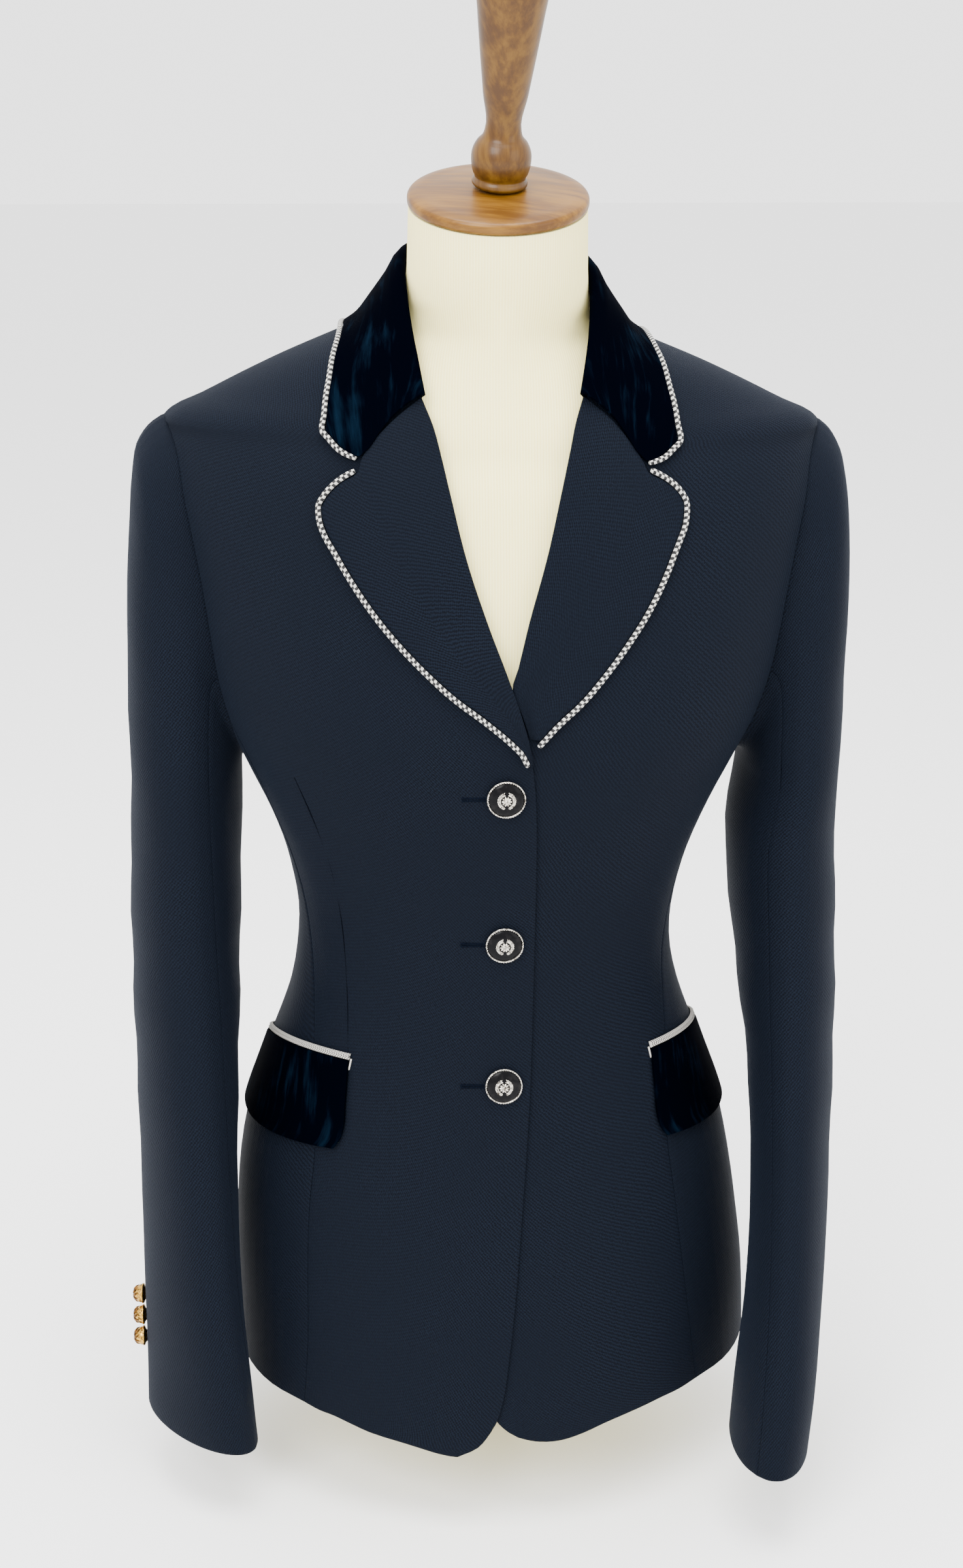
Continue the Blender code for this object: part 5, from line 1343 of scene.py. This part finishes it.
def buttonholes():
    for number, (rise, start) in enumerate(zip(frontButton["rises"], hole["starts"]), start=1):
        middle = rise + hole["drop"]
        parts = []
        for k in range(hole["stitches"]):
            across = start + hole["length"] * k / (hole["stitches"] - 1)
            for side in (-1, 1):
                sites = [frontSite(-1, across, middle + side * reach) for reach in hole["reaches"]]
                stitch = [point + normal * hole["lift"] for point, normal in sites]
                parts.append(tube(stitch, hole["radii"], 5))
        bar = []
        for k in range(hole["barStitches"]):
            rung = (k - hole["barStitches"] // 2) * hole["barStep"]
            point, normal = frontSite(-1, start + hole["barAt"] + 0.00003 * (k % 2), middle + rung)
            bar.append(point + normal * hole["barLift"])
        parts.append(tube(bar, hole["barRadius"]))
        gathered("buttonhole{}".format(number), parts, holeThread, 180)


# The bust dart on the wearer's right front: a dark line a little below the cloth's face, painted shade
# standing in for the seam's groove.
dart = {"line": ((-0.1240, -0.205), (-0.1165, -0.224), (-0.1100, -0.242), (-0.1035, -0.264),
                 (-0.0992, -0.288), (-0.0962, -0.318), (-0.0950, -0.350), (-0.0950, -0.3845)),
        "radius": 0.00032, "depth": 0.00012}


def dartSeam():
    places = finer(np.array([(across, rise, 0.0) for across, rise in dart["line"]])[:, None, :], 8)[:, 0]
    sites = [frontSite(-1, across, rise) for across, rise, _ in places]
    line = [point - normal * dart["depth"] for point, normal in sites]
    gathered("dartRight", [tube(line, dart["radius"])], seamThread, 180)


gorge = {"corners": ((0.0466, 0.0164), (0.0540, 0.0110), (0.0470, 0.0196), (0.0552, 0.0196)),
         "heights": (0.0006, -0.0002)}


# The undercollar's end, which closes the gorge seam by the fold.
def gorgeEnds():
    for side, name in ((-1, "gorgeEndRight"), (1, "gorgeEndLeft")):
        sites = [frontSite(side, side * across, rise) for across, rise in gorge["corners"]]
        corners = [point + normal * height for point, normal in sites for height in gorge["heights"]]
        spots = [spot for spot in gorge["corners"] for height in gorge["heights"]]
        faces = [(0, 2, 6, 4), (1, 5, 7, 3), (0, 1, 3, 2), (2, 3, 7, 6), (6, 7, 5, 4), (4, 5, 1, 0)]
        makePiece(name, corners, faces, wool, spots)


# Seam allowances pressed open inside the coat, which close the body's seams from behind.
tape = {"halfWidth": 0.003, "clear": 0.0003, "thickness": 0.0003, "hemClear": 0.0005}


def seamTape(name, places):
    sites = np.array([[*bodyPoint(rise, turn), *bodyNormal(rise, turn)] for rise, turn in places])
    corners, spots = [], []
    for row in finer(sites[:, None, :], weave["fineness"])[:, 0]:
        point, normal = Vector(row[:3]), Vector(row[3:]).normalized()
        around = normal.cross(Vector((0, 0, 1))).normalized()
        for reach in (-tape["halfWidth"], tape["halfWidth"]):
            for depth in (tape["clear"], tape["clear"] + tape["thickness"]):
                corners.append(point + around * reach - normal * (coat["wall"] + depth))
                spots.append((reach, point.z))
    faces = []
    end = len(corners) - 4
    for a in range(0, end, 4):
        faces += [(a, a + 2, a + 6, a + 4), (a + 1, a + 5, a + 7, a + 3),
                  (a, a + 4, a + 5, a + 1), (a + 2, a + 3, a + 7, a + 6)]
    faces += [(0, 1, 3, 2), (end, end + 2, end + 3, end + 1)]
    makePiece(name, corners, faces, wool, spots)


def seamTapes():
    for side, label in ((-1, "Right"), (1, "Left")):
        rises = [sideHem(rise, side) for rise in bodyRows]
        rises[-1] += tape["hemClear"]
        seamTape("frontSeam" + label, [(rise, seamTurn(rise, side)) for rise in rises])
        seamTape("backSeam" + label, [(rise, backTurn(rise, side)) for rise in rises])
    seamTape("centreSeam", [(rise, pi) for rise in (*topRows, *rises)])


# The dress form: jersey over padding, and turned wood above and below it.
def formCover():
    sides = formCut["sides"]
    rings = [formRing(rise) for rise in formRows]
    tilt = Matrix.Translation(neckCap["centre"]) @ Matrix.Rotation(neckCap["tilt"], 4, "X")
    radius = neckCap["topRadius"]
    rings.append([tilt @ Vector((radius * sin(turn), -radius * cos(turn), -neckCap["topGap"]))
                  for turn in np.linspace(0.0, 2 * pi, sides, endpoint=False)])
    # each ring runs from centre back round to it again
    rings = [ring[sides // 2:] + ring[:sides // 2 + 1] for ring in rings]
    data = finer([[list(point) for point in ring] for ring in rings], formCut["fineness"])
    rows, columns = data.shape[:2]
    across, down = travelled(data, 1), travelled(data, 0)
    across = across - across[:, columns // 2:columns // 2 + 1]
    spots = [(float(u), float(v)) for u, v in zip(across.ravel(), down.ravel())]
    faces = [(a, a + 1, a + 1 + columns, a + columns)
             for i in range(rows - 1) for a in range(i * columns, (i + 1) * columns - 1)]
    faces += [tuple(reversed(range(columns - 1))), tuple(range((rows - 1) * columns, rows * columns - 1))]
    piece = makePiece("formCover", data.reshape(-1, 3), faces, jersey, spots, 60)
    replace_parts(piece, "form_torso")


capRows = ((4.95, -0.05), (5.16, -0.02), (5.25, 0.10), (5.27, 0.30), (5.25, 0.46), (5.14, 0.60), (4.95, 0.68),
           (4.0, 0.80), (3.0, 0.88), (1.56, 0.95))


def formWood():
    place = Matrix.Translation(neckCap["centre"]) @ Matrix.Rotation(neckCap["tilt"], 4, "X")
    tilted = place @ Matrix.Rotation(neckCap["finialTilt"], 4, "Y")
    for name, profile, sides, paint, spot, fineness, node in (
            ("neckCapTop", capRows, 128, capWood, place, 4, "form_neck_cap"),
            ("finialTurned", finialProfile, 96, finialWood, tilted, 5, "form_finial")):
        rows = [(radius * 0.01, height * 0.01) for radius, height in profile]
        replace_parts(turned(name, rows, sides, paint, spot, fineness, 70), node)
    for name, paint in (("form_base", capWood), ("form_post", finialWood)):
        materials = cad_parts[name].data.materials
        materials.clear()
        materials.append(paint)


for side in (-1, 1):
    for make in (frontPanel, sidePanel, backPanel, sleeve, lapel, lapelPiping, flap, welt, cuffButtons):
        make(side)
    print("wearer's", hand(side), "side sewn")
for make in (collar, collarPiping, gorgeEnds, seamTapes, frontButtons, buttonholes, dartSeam, formCover,
             formWood):
    make()
print("collar, buttons and form made")

# Each sheet's width, length and area.
for name, (piece, width, length, area) in sheets.items():
    print("{}: {:.0f} x {:.0f} mm, {:.0f} square cm".format(name, width * 1000, length * 1000, area * 10000))


# Studio: one pale floor, a large soft key from the front left, a fill and a top light.
studio = {"floor": 0.90, "half": 20.0, "sky": (1.0, 1.0, 1.0, 1.0), "skyStrength": 2.7,
          "aim": (0.0, 0.0, 0.5)}
lights = (("key", (-1.3, -2.3, 2.4), 1.6, 130.0), ("fill", (2.0, -1.8, 1.2), 1.8, 30.0),
          ("top", (0.0, -0.4, 2.7), 1.6, 110.0))
view = {"place": (-0.0872, -1.3808, 0.8687), "pitch": radians(16.767), "pan": radians(3.317), "lens": 51.77,
        "sensor": 36.0}


def floorPaint():
    paint = Paint("paleFloor")
    speck = paint.noise(paint.place(), 40.0, 2.0)
    base = paint.blend(speck, (studio["floor"],) * 3, (studio["floor"] * 0.99,) * 3)
    return paint.set(BaseColor=base, Roughness=0.9)


# Puts an object in the scene, its own -Z axis along ahead.
def stand(thing, place, ahead):
    holder = bpy.data.objects.new(thing.name, thing)
    holder.location = place
    holder.rotation_mode = "QUATERNION"
    holder.rotation_quaternion = ahead.to_track_quat("-Z", "Y")
    bpy.context.scene.collection.objects.link(holder)
    return holder


half = studio["half"]
floorMesh = bpy.data.meshes.new("floor")
corners = [(-half, -half, 0), (half, -half, 0), (half, half, 0), (-half, half, 0)]
floorMesh.from_pydata(corners, [], [(0, 1, 2, 3)])
floorMesh.materials.append(floorPaint())
floor = bpy.data.objects.new("floor", floorMesh)
bpy.context.scene.collection.objects.link(floor)

world = bpy.data.worlds.new("studio")
world.use_nodes = True
sky = world.node_tree.nodes["Background"].inputs
sky["Color"].default_value, sky["Strength"].default_value = studio["sky"], studio["skyStrength"]
bpy.context.scene.world = world
for name, place, size, power in lights:
    lamp = bpy.data.lights.new(name, "AREA")
    lamp.size, lamp.energy = size, power
    stand(lamp, place, Vector(studio["aim"]) - Vector(place))

lens = bpy.data.cameras.new("camera")
lens.lens, lens.sensor_width = view["lens"], view["sensor"]
level = cos(view["pitch"])
ahead = Vector((sin(view["pan"]) * level, cos(view["pan"]) * level, -sin(view["pitch"])))
bpy.context.scene.camera = stand(lens, view["place"], ahead)
print("studio set")
